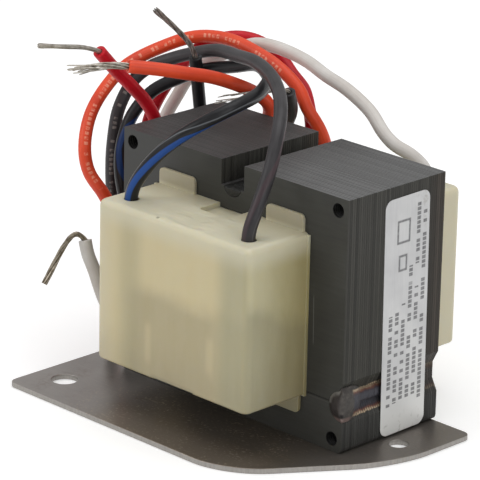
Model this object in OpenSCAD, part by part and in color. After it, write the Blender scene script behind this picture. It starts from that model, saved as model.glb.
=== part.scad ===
// Shell-type transformer: welded stacks of E and I laminations stand on a steel plate, a two-section
// bobbin sits round the middle leg, and two moulded covers close the coil's ends.
// Millimetres, +Z up. The origin is on the plate's underside, below the middle of the core.

/* [Core] */
// Width of each outer leg of the E stack
leg_w = 11.1; // [9:0.1:14]
// Width of the middle leg
tongue_w = 22.2; // [18:0.1:28]
// Width of each window between the legs
window_w = 11.1; // [9:0.1:14]
// Height of the windows
window_h = 33.3; // [28:0.1:40]
// Height of the yoke above the windows
yoke_h = 11.1; // [9.5:0.1:14]
// Height of the I stack
bar_h = 11.1; // [9:0.1:14]
// Depth of both stacks
stack_t = 29.2; // [24:0.1:36]
// Radius of the I stack's lower corners
bar_corner_r = 1.2; // [0.4:0.1:2]
// Diameter of the bolt holes in the corners of the core
bolt_hole_d = 3; // [2:0.1:4]
// Distance of the bolt holes from the core's edges
bolt_hole_inset = 2.8; // [2.4:0.1:4]

/* [Weld grooves] */
// Width of the slot in the top of the yoke
slot_w = 6.7; // [5.6:0.1:9]
// Depth of that slot
slot_h = 5.6; // [3:0.1:6.5]
// Width of the round groove under the slot
groove_w = 5.2; // [3:0.1:5.5]
// Depth of the round groove
groove_h = 2; // [1:0.1:2.4]
// Half height of the side grooves at the core's face
seam_half = 4.5; // [3:0.1:6]
// Half height of the side grooves at their bottom
seam_flat = 1.8; // [1.2:0.1:2.5]
// Depth of the side grooves
seam_depth = 1.4; // [1:0.1:2]

/* [Weld beads] */
// Height of the side beads above the bottom of their groove
bead_h = 1; // [0.6:0.1:1.3]
// Distance between the ripples of a bead
ripple_pitch = 1.5; // [1:0.1:3]
// Height of the ripples
ripple_h = 0.25; // [0.1:0.05:0.4]
// Distance of the side beads' ends from the back of the core
bead_stop = 5; // [2:0.5:10]
// Radius of the puddle on the corner where the right bead starts
puddle_r = 3.6; // [3:0.1:4.2]
// Height of the puddle above the faces of the core
puddle_h = 0.8; // [0.5:0.1:1]
// Distance of the puddle's middle below the joint of the stacks
puddle_drop = 0.5; // [0:0.1:1]
// Distance of the puddle's middle from the corner, on the front of the core
puddle_front = 0.3; // [0:0.1:1]
// Distance of the puddle's middle from the corner, on the side of the core
puddle_side = 1.5; // [0:0.1:3]
// Reach of the puddle past the upright corner of the core
puddle_nose = 0.3; // [0.2:0.1:0.4]
// Diameter of the pit in the puddle
pit_d = 0.7; // [0.4:0.1:0.8]
// Distance of the pit below the middle of the puddle
pit_drop = 2; // [1.6:0.1:2.1]
// Length of each tack that holds the core to the plate
tack_l = 9; // [5:0.5:14]
// Distance of each tack from the middle of the core
tack_x = 18; // [8:0.5:24]

/* [Base plate] */
// Thickness of the plate
plate_t = 1.2; // [0.8:0.1:2]
// Reach of the plate past the left side of the core
plate_left_ear = 10.7; // [9:0.1:20]
// Reach of the plate past the right side of the core
plate_right_ear = 10.5; // [9:0.1:20]
// Reach of the plate in front of the core
plate_apron = 23.8; // [20:0.1:32]
// Distance of the plate's back edge in front of the back of the core
plate_setback = 0.4; // [0.2:0.1:0.8]
// Length that the slanting cut takes off the front edge
cut_run = 20.7; // [16:0.1:24]
// Length that the slanting cut takes off the right edge
cut_rise = 29.8; // [24:0.1:32]
// Radius between the front edge and the cut
cut_front_r = 18; // [4:0.5:22]
// Radius between the cut and the right edge
cut_side_r = 30; // [4:0.5:34]
// Radius of the plate's other corners
plate_corner_r = 1.8; // [0.5:0.1:4]
// Diameter of the left fixing hole
left_hole_d = 5.8; // [4:0.1:7]
// Distance of the left hole from the left edge
left_hole_x = 7.5; // [5:0.1:9]
// Distance of the left hole from the front edge
left_hole_y = 9.7; // [6:0.1:14]
// Diameter of the right fixing hole
right_hole_d = 4.2; // [3:0.1:6]
// Distance of the right hole from the right edge
right_hole_x = 6.7; // [5:0.1:8]
// Distance of the right hole from the back edge
right_hole_y = 15.3; // [8:0.1:17]

/* [Coil] */
// Gap between the bobbin's tube and the middle leg
bobbin_gap = 0.2; // [0.1:0.05:0.4]
// Wall of the bobbin's tube
bobbin_wall = 1.3; // [0.8:0.1:1.8]
// Thickness of the bobbin's flanges
flange_t = 1.2; // [0.8:0.1:1.8]
// Gap between the bobbin and the top and bottom of the windows
seat_gap = 0.3; // [0.1:0.05:0.5]
// Gap between the bobbin's flanges and the outer legs
leg_gap = 0.8; // [0.4:0.1:1.5]
// Corner radius of the bobbin's tube
tube_r = 1; // [0.4:0.1:2]
// Corner radius of the windings
winding_r = 5; // [3:0.1:6]
// Distance of the tape from the edge of the flanges
flange_margin = 0.5; // [0.2:0.1:1.5]
// Thickness of the tape round each winding
tape_t = 0.4; // [0.2:0.1:0.8]
// Fitting gap between the windings, the tape and the bobbin
wind_gap = 0.1; // [0.05:0.05:0.2]

/* [Covers] */
// Wall of the covers
cover_wall = 1; // [0.8:0.1:1.4]
// Gap between the covers and the bobbin's flanges
cover_gap = 0.3; // [0.2:0.1:0.6]
// Room above the bobbin's top flange
cover_headroom = 0.8; // [0.7:0.1:1.5]
// Room for the leads between the bobbin's flanges and the front wall
lead_room = 6.3; // [5:0.1:9]
// Radius of the covers' upright edges
cover_edge_r = 1.8; // [1.6:0.1:4]
// Radius of the covers' top edges
cover_top_r = 1.5; // [0.5:0.1:1.5]
// Radius of the covers' bottom edges
cover_bottom_r = 0.8; // [0.3:0.1:1.5]
// Thickness of the rim that lies on the core
rim_t = 1; // [0.6:0.1:1.5]
// Reach of the rim past the covers' sides
rim_side = 0.7; // [0.3:0.1:1.5]
// Distance of the rim's top edge below the covers' top
rim_drop = 0.4; // [0.1:0.1:1]
// Width of each tab on the rim
tab_w = 11.3; // [8:0.1:14]
// Distance of the tabs from the covers' sides
tab_inset = 0.9; // [0.5:0.1:3]
// Reach of the upper tabs above the covers' top
tab_up = 3.6; // [2:0.1:6]
// Reach of the lower tabs below the covers' bottom
tab_down = 4.2; // [2:0.1:6]
// Radius of the tabs' corners
tab_r = 1; // [0.3:0.1:2]
// Width of the gate recess in the middle of the covers' top
gate_w = 8.5; // [5:0.1:12]
// Distance of the gate recess from the middle of the covers
gate_x = 0.7; // [0:0.1:2]
// Length of the gate recess from the core's face
gate_l = 6.3; // [4:0.1:10]
// Depth of the gate recess
gate_h = 1; // [0.5:0.1:1.2]
// Thickness of the gate recess's floor
gate_floor = 0.5; // [0.4:0.1:0.6]
// Width of the recess in the covers' lower front edge
foot_w = 12; // [6:0.1:16]
// Distance of the foot recess from the middle of the covers
foot_x = 1; // [0:0.1:3]
// Depth of the foot recess
foot_depth = 3; // [1:0.1:5]
// Height of the foot recess
foot_h = 0.5; // [0.3:0.1:0.7]
// Diameter of the lead holes in the covers' top
lead_hole_d = 3.3; // [3.1:0.1:4]
// Distance of the outer lead holes from the middle of the covers
lead_hole_x = 17.5; // [16.9:0.1:18]
// Distance between the rear cover's two neighbouring lead holes
lead_hole_pitch = 4.5; // [4.2:0.1:6]
// Distance of the lead holes from the covers' front wall
lead_hole_y = 4.2; // [3:0.1:5]

/* [Label] */
// Width of the label
label_w = 13.4; // [8:0.1:20]
// Distance of the label's top edge from the top of the core
label_top = 2.7; // [1:0.1:8]
// Distance of the label's bottom edge from the plate
label_bottom = 0.6; // [0.4:0.1:8]
// Distance of the label's back edge from the back of the core
label_back = 4.4; // [2:0.1:8]
// Thickness of the label
label_t = 0.15; // [0.1:0.05:0.3]
// Radius of the label's corners
label_r = 2; // [0.5:0.1:4]
// Tilt of the label in degrees
label_tilt = 0.8; // [0:0.1:1]

/* [Leads] */
// Diameter of the leads' insulation
lead_d = 2.9; // [2.4:0.1:3]
// Diameter of the bare conductors
conductor_d = 1.1; // [0.6:0.1:1.6]

/* [Hidden] */
$fn = 48;

// Excess of cutting bodies past the faces that they cut
cut_over = 1;
// Gap between a weld bead and the groove that it fills
bead_gap = 0.05;
// Lap of the right bead into the puddle
bead_lap = 0.3;
// Number of flats on each rounded corner of an outline
arc_steps = 6;
// Number of flats on each ripple of a bead
ripple_steps = 4;
// Sides of the leads' and conductors' tubes
tube_sides = 8;
// Direction that the first corner of a tube's ring leans to
ring_start = [0.6, 0.64, 0.48];
// Least radius of the upright edges inside the covers
hollow_min_r = 0.2;

// Core: half sizes and levels
window_x = tongue_w / 2 + window_w;
core_x = window_x + leg_w;
core_y = stack_t / 2;
joint_z = plate_t + bar_h;
window_z = joint_z + window_h;
core_z = window_z + yoke_h;
slot_z = core_z - slot_h;
groove_r = (groove_w * groove_w / 4 + groove_h * groove_h) / (2 * groove_h);
groove_z = slot_z - groove_h + groove_r;

// Plate: edges
plate_x0 = -core_x - plate_left_ear;
plate_x1 = core_x + plate_right_ear;
plate_y0 = -core_y - plate_apron;
plate_y1 = core_y - plate_setback;

// Coil: half sizes and levels
tube_x = tongue_w / 2 + bobbin_gap + bobbin_wall;
tube_y = core_y + bobbin_gap + bobbin_wall;
flange_x = window_x - leg_gap;
flange_y = tube_y + flange_x - tube_x;
bobbin_z0 = joint_z + seat_gap;
bobbin_z1 = window_z - seat_gap;
divider_z = (bobbin_z0 + bobbin_z1 - flange_t) / 2;
section_h = divider_z - bobbin_z0 - flange_t;
taped_x = flange_x - flange_margin;
taped_y = flange_y - flange_margin;

// Covers: half width, front and levels
cover_x = flange_x + cover_gap + cover_wall;
cover_y = flange_y + lead_room + cover_wall;
cover_z0 = bobbin_z0 - cover_gap - cover_wall;
cover_z1 = bobbin_z1 + cover_headroom + cover_wall;

// Routes of the leads, from inside the covers to the ends of their insulation
black_brown_route = [[17.5, -27, 35], [17.5, -27, 42], [17.5, -27, 48.5], [17.5, -24.5, 54],
  [16.5, -20.5, 60], [14, -16, 65.5], [10, -11, 69], [4, -5.5, 71], [-4, 0, 72], [-13, 4.5, 72],
  [-22.5, 8.5, 70.5], [-32, 12, 69], [-40, 13.5, 66.5], [-46.5, 12.5, 64], [-51, 9.5, 61.5],
  [-53.5, 6.5, 58], [-54, 3, 52.5], [-53.5, 1, 46.5], [-53, 0, 40], [-53, 0.5, 33], [-53, 3, 25.5],
  [-52, 8, 18.5], [-48.5, 15, 13.5], [-43.5, 22, 13.5], [-38, 26.5, 18.5], [-34, 28, 27],
  [-30.5, 27.5, 36], [-26.5, 26, 44.5], [-22, 23.5, 51.5], [-17.5, 20.5, 57], [-16, 18, 62]];
black_blue_route = [[-17.5, -27, 35], [-17.5, -27, 42], [-17.5, -27, 48], [-15.5, -26.5, 52.5],
  [-11.5, -25, 58], [-7, -23, 62.5], [-3, -19.5, 66], [-0.5, -14, 68.5], [-2, -6.5, 69], [-7, 1.5, 68.5],
  [-11.5, 7, 68.5], [-19.5, 11.5, 68.5], [-28, 13, 66], [-36.5, 13, 63.5], [-43, 11.5, 60.5],
  [-47, 7, 57.5], [-48.5, 2.5, 53], [-48.5, -0.5, 48], [-47.5, -2.5, 42.5], [-46.5, -2.5, 36.5],
  [-46, -1, 31], [-45, 0.5, 26], [-43, 4, 23], [-40.5, 8.5, 23], [-38.5, 12, 26], [-37.5, 13.5, 32],
  [-37.5, 13.5, 40], [-37.5, 13, 48], [-37.5, 12, 55.5], [-37, 10.5, 63], [-36.5, 9.5, 67]];
orange_route = [[-13, 27, 35], [-13, 27, 42], [-13, 27, 48], [-13.5, 25.5, 52.5], [-16, 24, 57],
  [-19, 24, 61], [-24.5, 23.5, 64.5], [-31.5, 23.5, 66.5], [-39.5, 22.5, 68], [-47, 19.5, 67.5],
  [-52, 13.5, 65], [-54.5, 6, 62], [-54.5, -0.5, 58], [-53.5, -6, 53], [-51.5, -9.5, 47],
  [-49.5, -10, 41.5], [-46, -8.5, 36.5], [-44, -6, 29.5], [-44, -3, 20.5], [-45, 3, 12.5],
  [-43, 10.5, 8.5], [-39.5, 17, 10.5], [-36, 20.5, 17.5], [-33, 21, 27], [-30, 20, 36.5], [-26.5, 19, 45],
  [-22.5, 18, 53], [-19.5, 15.5, 58.5], [-19, 11.5, 62], [-19, 6, 65], [-20, -1, 68], [-21.5, -8, 70],
  [-24, -14, 71.5], [-27, -19.5, 72.5]];
red_route = [[-17.5, 27, 35], [-17.5, 27, 42], [-17.5, 27, 48], [-18, 27.5, 52], [-20, 28.5, 56],
  [-23.5, 30.5, 58.5], [-28.5, 32, 60.5], [-34, 33, 63.5], [-39.5, 31.5, 66], [-44, 28, 66.5],
  [-47, 22, 65], [-48, 16, 61], [-50, 11.5, 54.5], [-51, 9, 48], [-50.5, 8, 41], [-50, 8, 34],
  [-49.5, 8, 26.5], [-48.5, 7, 22], [-45.5, 5, 19.5], [-42.5, 3, 19.5], [-39.5, 1, 22], [-38.5, 0, 26.5],
  [-38, -0.5, 36], [-38, -0.5, 45], [-37.5, -1, 53], [-37, -4.5, 59], [-36.5, -10, 64.5], [-36, -15, 69],
  [-35.5, -20, 74]];
white_route = [[17.5, 27, 35], [17.5, 27, 42], [17.5, 27, 47.5], [17, 26, 51], [15.5, 23.5, 54],
  [12.5, 21.5, 56], [9, 21.5, 58], [3, 23.5, 61], [-5, 25, 63.5], [-13.5, 27, 64.5], [-21.5, 28.5, 66],
  [-30, 28.5, 67], [-36.5, 28, 66.5], [-42, 26.5, 64], [-47.5, 25, 61], [-51, 22.5, 57.5],
  [-52.5, 19.5, 52.5], [-53.5, 16.5, 47], [-54.5, 14.5, 38], [-56, 12, 29.5], [-56.5, 9, 22],
  [-55, 5, 14.5], [-51.5, 0.5, 8.5], [-46.5, -5.5, 5], [-40.5, -11.5, 4], [-35.5, -16, 5.5],
  [-31.5, -18.5, 9.5], [-31, -20, 15], [-33, -21, 20], [-35, -21.5, 25], [-36.5, -22, 28.5],
  [-37.5, -22, 31.5]];

// Routes of the bare conductors past the ends of the insulation
black_brown_end = [[-16, 15, 63], [-16, 11.5, 63.5], [-16.5, 7, 63.5], [-19, 1.5, 63]];
black_blue_end = [[-36.5, 7.5, 70.5], [-37.5, 4, 74.5], [-39, -0.5, 79]];
orange_end = [[-28.5, -23, 73], [-30.5, -27.5, 73], [-32.5, -32.5, 72.5]];
red_end = [[-36, -24, 75.5], [-36.5, -29, 76.5], [-38, -35, 77.5]];
white_end = [[-38.5, -24, 33], [-39, -27, 30.5], [-40, -31.5, 23]];

// Outlines with rounded corners, given as [x, y, radius]
function unit(v) = v / norm(v);
function flat(c) = [c[0], c[1]];
function turned(v, a) = [v[0] * cos(a) - v[1] * sin(a), v[0] * sin(a) + v[1] * cos(a)];
function arc(centre, start, sweep) = [for (i = [0 : arc_steps]) centre + turned(start, sweep * i / arc_steps)];
function corner(a, p, b, r) =
  let (u = unit(a - p), v = unit(b - p))
  let (half = acos(u * v) / 2)
  let (centre = p + unit(u + v) * r / sin(half))
  let (start = p + u * r / tan(half) - centre)
  arc(centre, start, sign(cross(v, u)) * (180 - 2 * half));
function rounded(corners) =
  let (n = len(corners))
  [for (i = [0 : n - 1])
    let (a = corners[(i + n - 1) % n], p = corners[i], b = corners[(i + 1) % n])
    each p[2] > 0 ? corner(flat(a), flat(p), flat(b), p[2]) : [flat(p)]];
function box_corners(x, y, r) = [[-x, -y, r], [x, -y, r], [x, y, r], [-x, y, r]];
function mirrored(points) = [for (i = [len(points) - 1 : -1 : 0]) [-points[i][0], points[i][1]]];

// Tubes swept along a route
function last(list) = list[len(list) - 1];
function heading(p, i) = unit(p[min(i + 1, len(p) - 1)] - p[max(i - 1, 0)]);
function across(n, t) = unit(n - (n * t) * t);
function normals(t) =
  [for (i = 0, n = across(ring_start, t[0]); i < len(t); i = i + 1, n = i < len(t) ? across(n, t[i]) : n) n];
function ring(c, t, n, r) =
  let (b = cross(t, n))
  [for (k = [0 : tube_sides - 1]) let (a = 360 * k / tube_sides) c + r * (cos(a) * n + sin(a) * b)];
function wall_faces(rings) =
  [for (i = [0 : rings - 2], k = [0 : tube_sides - 1])
    let (j = (k + 1) % tube_sides, low = i * tube_sides, high = low + tube_sides)
    each [[low + k, high + k, high + j], [low + k, high + j, low + j]]];
function ripples(l) =
  let (count = max(1, round(l / ripple_pitch)) * ripple_steps)
  [for (i = [0 : count]) [l * i / count, ripple_h * abs(sin(180 * i / ripple_steps))]];

// Tube of diameter d through the points of a route, with its first face square to a given direction
module tube(route, d, first) {
  t = [for (i = [0 : len(route) - 1]) i == 0 ? first : heading(route, i)];
  n = normals(t);
  points = [for (i = [0 : len(route) - 1]) each ring(route[i], t[i], n[i], d / 2)];
  ends = [[for (k = [0 : tube_sides - 1]) k], [for (k = [tube_sides : -1 : 1]) len(points) - tube_sides + k - 1]];
  polyhedron(points, concat(ends, wall_faces(len(route))));
}

module lead(route) {
  tube(route, lead_d, heading(route, 0));
}

module conductor(route, end) {
  tube(concat([last(route)], end), conductor_d, heading(route, len(route) - 1));
}

// Extrusions of outlines drawn in the XZ and YZ planes, centred on the third axis
module along_y(depth) {
  rotate([90, 0, 0]) linear_extrude(depth, center = true) children();
}

module along_x(width) {
  rotate([90, 0, 90]) linear_extrude(width, center = true) children();
}

module bolt_holes(z) {
  for (side = [-1, 1])
    translate([side * (core_x - bolt_hole_inset), 0, z]) rotate([90, 0, 0])
      cylinder(d = bolt_hole_d, h = stack_t + 2 * cut_over, center = true);
}

module lower_core() {
  right = [[core_x, plate_t, bar_corner_r], [core_x, joint_z - seam_half, 0],
    [core_x - seam_depth, joint_z - seam_flat, 0], [core_x - seam_depth, joint_z, 0]];
  left = [for (i = [len(right) - 1 : -1 : 0]) [-right[i][0], right[i][1], right[i][2]]];
  color([0.26, 0.26, 0.26]) difference() {
    along_y(stack_t) polygon(rounded(concat(right, left)));
    bolt_holes(plate_t + bolt_hole_inset);
  }
}

module upper_core() {
  right = [[tongue_w / 2, joint_z], [tongue_w / 2, window_z], [window_x, window_z], [window_x, joint_z],
    [core_x - seam_depth, joint_z], [core_x - seam_depth, joint_z + seam_flat], [core_x, joint_z + seam_half],
    [core_x, core_z], [slot_w / 2, core_z], [slot_w / 2, slot_z]];
  color([0.28, 0.28, 0.28]) difference() {
    along_y(stack_t) polygon(concat(right, mirrored(right)));
    translate([0, 0, groove_z]) rotate([90, 0, 0])
      cylinder(r = groove_r, h = stack_t + 2 * cut_over, center = true);
    bolt_holes(core_z - bolt_hole_inset);
  }
}

// Upright block along +Y whose top carries the ripples of a weld
module rippled(l, width, h) {
  top = [for (p = ripples(l)) [p[0], h - ripple_h + p[1]]];
  along_x(width) polygon(concat([[l, 0], [0, 0]], top));
}

// Bead that lies on the bottom of a side groove, from the front of the core
module seam_bead(ahead) {
  half = seam_flat - wind_gap;
  r = (half * half + bead_h * bead_h) / (2 * bead_h);
  l = stack_t - bead_stop + ahead;
  translate([core_x - seam_depth, -core_y - ahead, joint_z]) rotate([0, 90, 0]) intersection() {
    rippled(l, 2 * half, bead_h);
    translate([0, l / 2, bead_h - r]) rotate([90, 0, 0]) cylinder(r = r, h = l + 2 * cut_over, center = true);
  }
}

// Room of the puddle outside the front of the core
module front_room() {
  translate([core_x - 2 * puddle_r, -core_y - puddle_h - cut_over, joint_z - 2 * puddle_r])
    cube([2 * puddle_r + puddle_h, puddle_h + cut_over, 4 * puddle_r]);
}

// Room of the puddle outside the side of the core, with the side groove that it fills
module side_room() {
  reach = 3 * puddle_r;
  groove = [[core_x + bead_gap, joint_z - seam_half], [core_x + bead_gap, joint_z + seam_half],
    [core_x - seam_depth + bead_gap, joint_z + seam_flat], [core_x - seam_depth + bead_gap, joint_z - seam_flat]];
  translate([core_x, -core_y - puddle_h, joint_z - 2 * puddle_r])
    cube([puddle_h + cut_over, reach, 4 * puddle_r]);
  translate([0, -core_y + reach / 2, 0]) along_y(reach) polygon(groove);
}

// Puddle on the corner of the core where the right bead was started, as a cap on each face, and its pit
module puddle() {
  r = (puddle_r * puddle_r + puddle_h * puddle_h) / (2 * puddle_h);
  nose_r = puddle_r * sqrt(2) + puddle_nose;
  z = joint_z - puddle_drop;
  difference() {
    intersection() {
      union() {
        intersection() {
          translate([core_x - puddle_front, -core_y - puddle_h + r, z]) sphere(r);
          front_room();
        }
        intersection() {
          translate([core_x + puddle_h - r, -core_y + puddle_side, z]) sphere(r);
          side_room();
        }
      }
      union() {
        translate([core_x - puddle_r, -core_y + puddle_r, z - 2 * puddle_r]) cylinder(r = nose_r, h = 4 * puddle_r);
        translate([core_x - 2 * puddle_r, -core_y + puddle_r, z - 2 * puddle_r])
          cube([2 * puddle_r + puddle_h, 3 * puddle_r, 4 * puddle_r]);
      }
    }
    translate([core_x + puddle_nose / 2, -core_y - puddle_nose / 2, z - pit_drop]) sphere(d = pit_d);
  }
}

module right_seam_weld() {
  color([0.36, 0.32, 0.36]) union() {
    seam_bead(bead_lap);
    puddle();
  }
}

module left_seam_weld() {
  color([0.36, 0.32, 0.36]) mirror([1, 0, 0]) seam_bead(0);
}

module yoke_weld() {
  r = groove_r - bead_gap;
  color([0.2, 0.2, 0.21]) intersection() {
    translate([0, 0, groove_z]) rotate([90, 0, 0]) cylinder(r = r, h = stack_t, center = true);
    translate([0, -core_y, slot_z - groove_h]) rippled(stack_t, groove_w, groove_h);
  }
}

// Two tacks in the step between the plate's back edge and the back of the I stack
module plate_welds() {
  reach = tack_l + 2 * cut_over;
  color([0.33, 0.31, 0.3])
    for (side = [-1, 1])
      translate([side * tack_x, core_y, plate_t]) difference() {
        rotate([0, 90, 0]) cylinder(r = plate_t, h = tack_l, center = true);
        translate([-reach / 2, -2 * plate_t, 0]) cube([reach, 2 * plate_t, 2 * plate_t]);
        translate([-reach / 2, -plate_setback - 2 * plate_t, -2 * plate_t])
          cube([reach, 2 * plate_t, 4 * plate_t]);
      }
}

module base_plate() {
  edge = [[plate_x0, plate_y0, plate_corner_r], [plate_x1 - cut_run, plate_y0, cut_front_r],
    [plate_x1, plate_y0 + cut_rise, cut_side_r], [plate_x1, plate_y1, plate_corner_r],
    [plate_x0, plate_y1, plate_corner_r]];
  color([0.42, 0.4, 0.38]) difference() {
    linear_extrude(plate_t) polygon(rounded(edge));
    translate([plate_x0 + left_hole_x, plate_y0 + left_hole_y, -cut_over])
      cylinder(d = left_hole_d, h = plate_t + 2 * cut_over);
    translate([plate_x1 - right_hole_x, plate_y1 - right_hole_y, -cut_over])
      cylinder(d = right_hole_d, h = plate_t + 2 * cut_over);
  }
}

module bobbin_plate(z) {
  translate([0, 0, z]) linear_extrude(flange_t) polygon(rounded(box_corners(flange_x, flange_y, tube_r)));
}

module bobbin() {
  bore_x = tongue_w / 2 + bobbin_gap;
  bore_y = core_y + bobbin_gap;
  color([0.86, 0.82, 0.7]) difference() {
    union() {
      translate([0, 0, bobbin_z0]) linear_extrude(bobbin_z1 - bobbin_z0)
        polygon(rounded(box_corners(tube_x, tube_y, tube_r)));
      for (z = [bobbin_z0, divider_z, bobbin_z1 - flange_t]) bobbin_plate(z);
    }
    translate([-bore_x, -bore_y, bobbin_z0 - cut_over])
      cube([2 * bore_x, 2 * bore_y, bobbin_z1 - bobbin_z0 + 2 * cut_over]);
  }
}

// Ring between two rounded boxes that fills one section of the bobbin
module coil_ring(z, inner_x, inner_y, inner_r, outer_x, outer_y, outer_r) {
  translate([0, 0, z + wind_gap]) linear_extrude(section_h - 2 * wind_gap) difference() {
    polygon(rounded(box_corners(outer_x, outer_y, outer_r)));
    polygon(rounded(box_corners(inner_x, inner_y, inner_r)));
  }
}

module winding(z) {
  inset = tape_t + wind_gap;
  coil_ring(z, tube_x + wind_gap, tube_y + wind_gap, tube_r, taped_x - inset, taped_y - inset, winding_r);
}

module tape(z) {
  coil_ring(z, taped_x - tape_t, taped_y - tape_t, winding_r, taped_x, taped_y, winding_r + tape_t);
}

module primary_winding() {
  color([0.62, 0.36, 0.2]) winding(bobbin_z0 + flange_t);
}

module primary_tape() {
  color([0.72, 0.66, 0.5]) tape(bobbin_z0 + flange_t);
}

module secondary_winding() {
  color([0.66, 0.38, 0.2]) winding(divider_z + flange_t);
}

module secondary_tape() {
  color([0.86, 0.78, 0.42]) tape(divider_z + flange_t);
}

// Outside of a cover: its plan, side and front outlines cut from one another
module cover_block() {
  depth = cover_y - core_y;
  plan = [[cover_x, -core_y, 0], [-cover_x, -core_y, 0], [-cover_x, -cover_y, cover_edge_r],
    [cover_x, -cover_y, cover_edge_r]];
  side = [[-core_y, cover_z1, 0], [-cover_y, cover_z1, cover_top_r], [-cover_y, cover_z0, cover_bottom_r],
    [-core_y, cover_z0, 0]];
  front = [[-cover_x, cover_z0, cover_bottom_r], [cover_x, cover_z0, cover_bottom_r],
    [cover_x, cover_z1, cover_top_r], [-cover_x, cover_z1, cover_top_r]];
  intersection() {
    translate([0, 0, cover_z0]) linear_extrude(cover_z1 - cover_z0) polygon(rounded(plan));
    along_x(2 * cover_x) polygon(rounded(side));
    translate([0, -core_y - depth / 2, 0]) along_y(depth) polygon(rounded(front));
  }
}

// Hollow of a cover, open towards the core
module cover_hollow() {
  x = cover_x - cover_wall;
  y = cover_y - cover_wall;
  r = max(hollow_min_r, cover_edge_r - cover_wall);
  plan = [[x, -core_y + cut_over, 0], [-x, -core_y + cut_over, 0], [-x, -y, r], [x, -y, r]];
  translate([0, 0, cover_z0 + cover_wall]) linear_extrude(cover_z1 - cover_z0 - 2 * cover_wall)
    polygon(rounded(plan));
}

// Rim that lies on the core, with two tabs up and two down
module cover_rim() {
  x = cover_x + rim_side;
  tab_x1 = cover_x - tab_inset;
  tab_x0 = tab_x1 - tab_w;
  z0 = cover_z0;
  z1 = cover_z1 - rim_drop;
  right = [[x, z0, 0], [x, z1, 0], [tab_x1, z1, 0], [tab_x1, cover_z1 + tab_up, tab_r],
    [tab_x0, cover_z1 + tab_up, tab_r], [tab_x0, z1, 0]];
  right_low = [[tab_x0, z0, 0], [tab_x0, z0 - tab_down, tab_r], [tab_x1, z0 - tab_down, tab_r], [tab_x1, z0, 0]];
  half = concat(right_low, right);
  left = [for (i = [len(half) - 1 : -1 : 0]) [-half[i][0], half[i][1], half[i][2]]];
  translate([0, -core_y - rim_t / 2, 0]) along_y(rim_t) polygon(rounded(concat(half, left)));
}

// One moulded cover, drawn in front of the core, with its lead holes at the given places
module cover(hole_places) {
  gate_z = cover_z1 - gate_h;
  pad_w = gate_w + 2 * cover_wall;
  difference() {
    union() {
      difference() {
        union() {
          cover_block();
          cover_rim();
        }
        cover_hollow();
      }
      translate([gate_x - pad_w / 2, -core_y - gate_l - cover_wall, gate_z - gate_floor])
        cube([pad_w, gate_l + cover_wall, gate_h + gate_floor - cover_wall / 2]);
    }
    translate([gate_x - gate_w / 2, -core_y - gate_l, gate_z]) cube([gate_w, gate_l + cut_over, gate_h + cut_over]);
    translate([foot_x - foot_w / 2, -cover_y - cut_over, cover_z0 - cut_over])
      cube([foot_w, cut_over + foot_depth, cut_over + foot_h]);
    for (x = hole_places)
      translate([x, -cover_y + cover_wall + lead_hole_y, cover_z1 - cover_wall - cut_over])
        cylinder(d = lead_hole_d, h = cover_wall + 2 * cut_over);
  }
}

module front_cover() {
  color([0.8, 0.77, 0.62]) cover([-lead_hole_x, lead_hole_x]);
}

module rear_cover() {
  color([0.82, 0.79, 0.64]) rotate([0, 0, 180])
    cover([-lead_hole_x, lead_hole_x - lead_hole_pitch, lead_hole_x]);
}

module label() {
  h = core_z - plate_t - label_top - label_bottom;
  color([0.8, 0.8, 0.8])
    translate([core_x + label_t / 2, core_y - label_back - label_w / 2, plate_t + label_bottom + h / 2])
      rotate([label_tilt, 0, 0])
        along_x(label_t) polygon(rounded(box_corners(label_w / 2, h / 2, label_r)));
}

module black_brown_lead() { color([0.16, 0.14, 0.15]) lead(black_brown_route); }
module black_brown_conductor() { color([0.6, 0.58, 0.55]) conductor(black_brown_route, black_brown_end); }
module black_blue_lead() { color([0.12, 0.15, 0.2]) lead(black_blue_route); }
module black_blue_conductor() { color([0.5, 0.5, 0.5]) conductor(black_blue_route, black_blue_end); }
module orange_lead() { color([0.85, 0.3, 0.15]) lead(orange_route); }
module orange_conductor() { color([0.66, 0.64, 0.6]) conductor(orange_route, orange_end); }
module red_lead() { color([0.65, 0.08, 0.12]) lead(red_route); }
module red_conductor() { color([0.6, 0.6, 0.6]) conductor(red_route, red_end); }
module white_lead() { color([0.9, 0.88, 0.86]) lead(white_route); }
module white_conductor() { color([0.6, 0.58, 0.55]) conductor(white_route, white_end); }

base_plate();
plate_welds();
lower_core();
upper_core();
left_seam_weld();
right_seam_weld();
yoke_weld();
bobbin();
primary_winding();
primary_tape();
secondary_winding();
secondary_tape();
front_cover();
rear_cover();
label();
black_brown_lead();
black_brown_conductor();
black_blue_lead();
black_blue_conductor();
orange_lead();
orange_conductor();
red_lead();
red_conductor();
white_lead();
white_conductor();
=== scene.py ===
"""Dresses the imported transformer: leads, lamination stacks, welds, moulded covers, plate and label.

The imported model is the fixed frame. Sizes are in millimetres and become metres where a mesh is made.
"""
import logging
import math
import random
from dataclasses import dataclass, field
from enum import Enum
from typing import Callable, Optional, Sequence, Union

import bmesh
import bpy
from mathutils import Matrix, Vector


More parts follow.
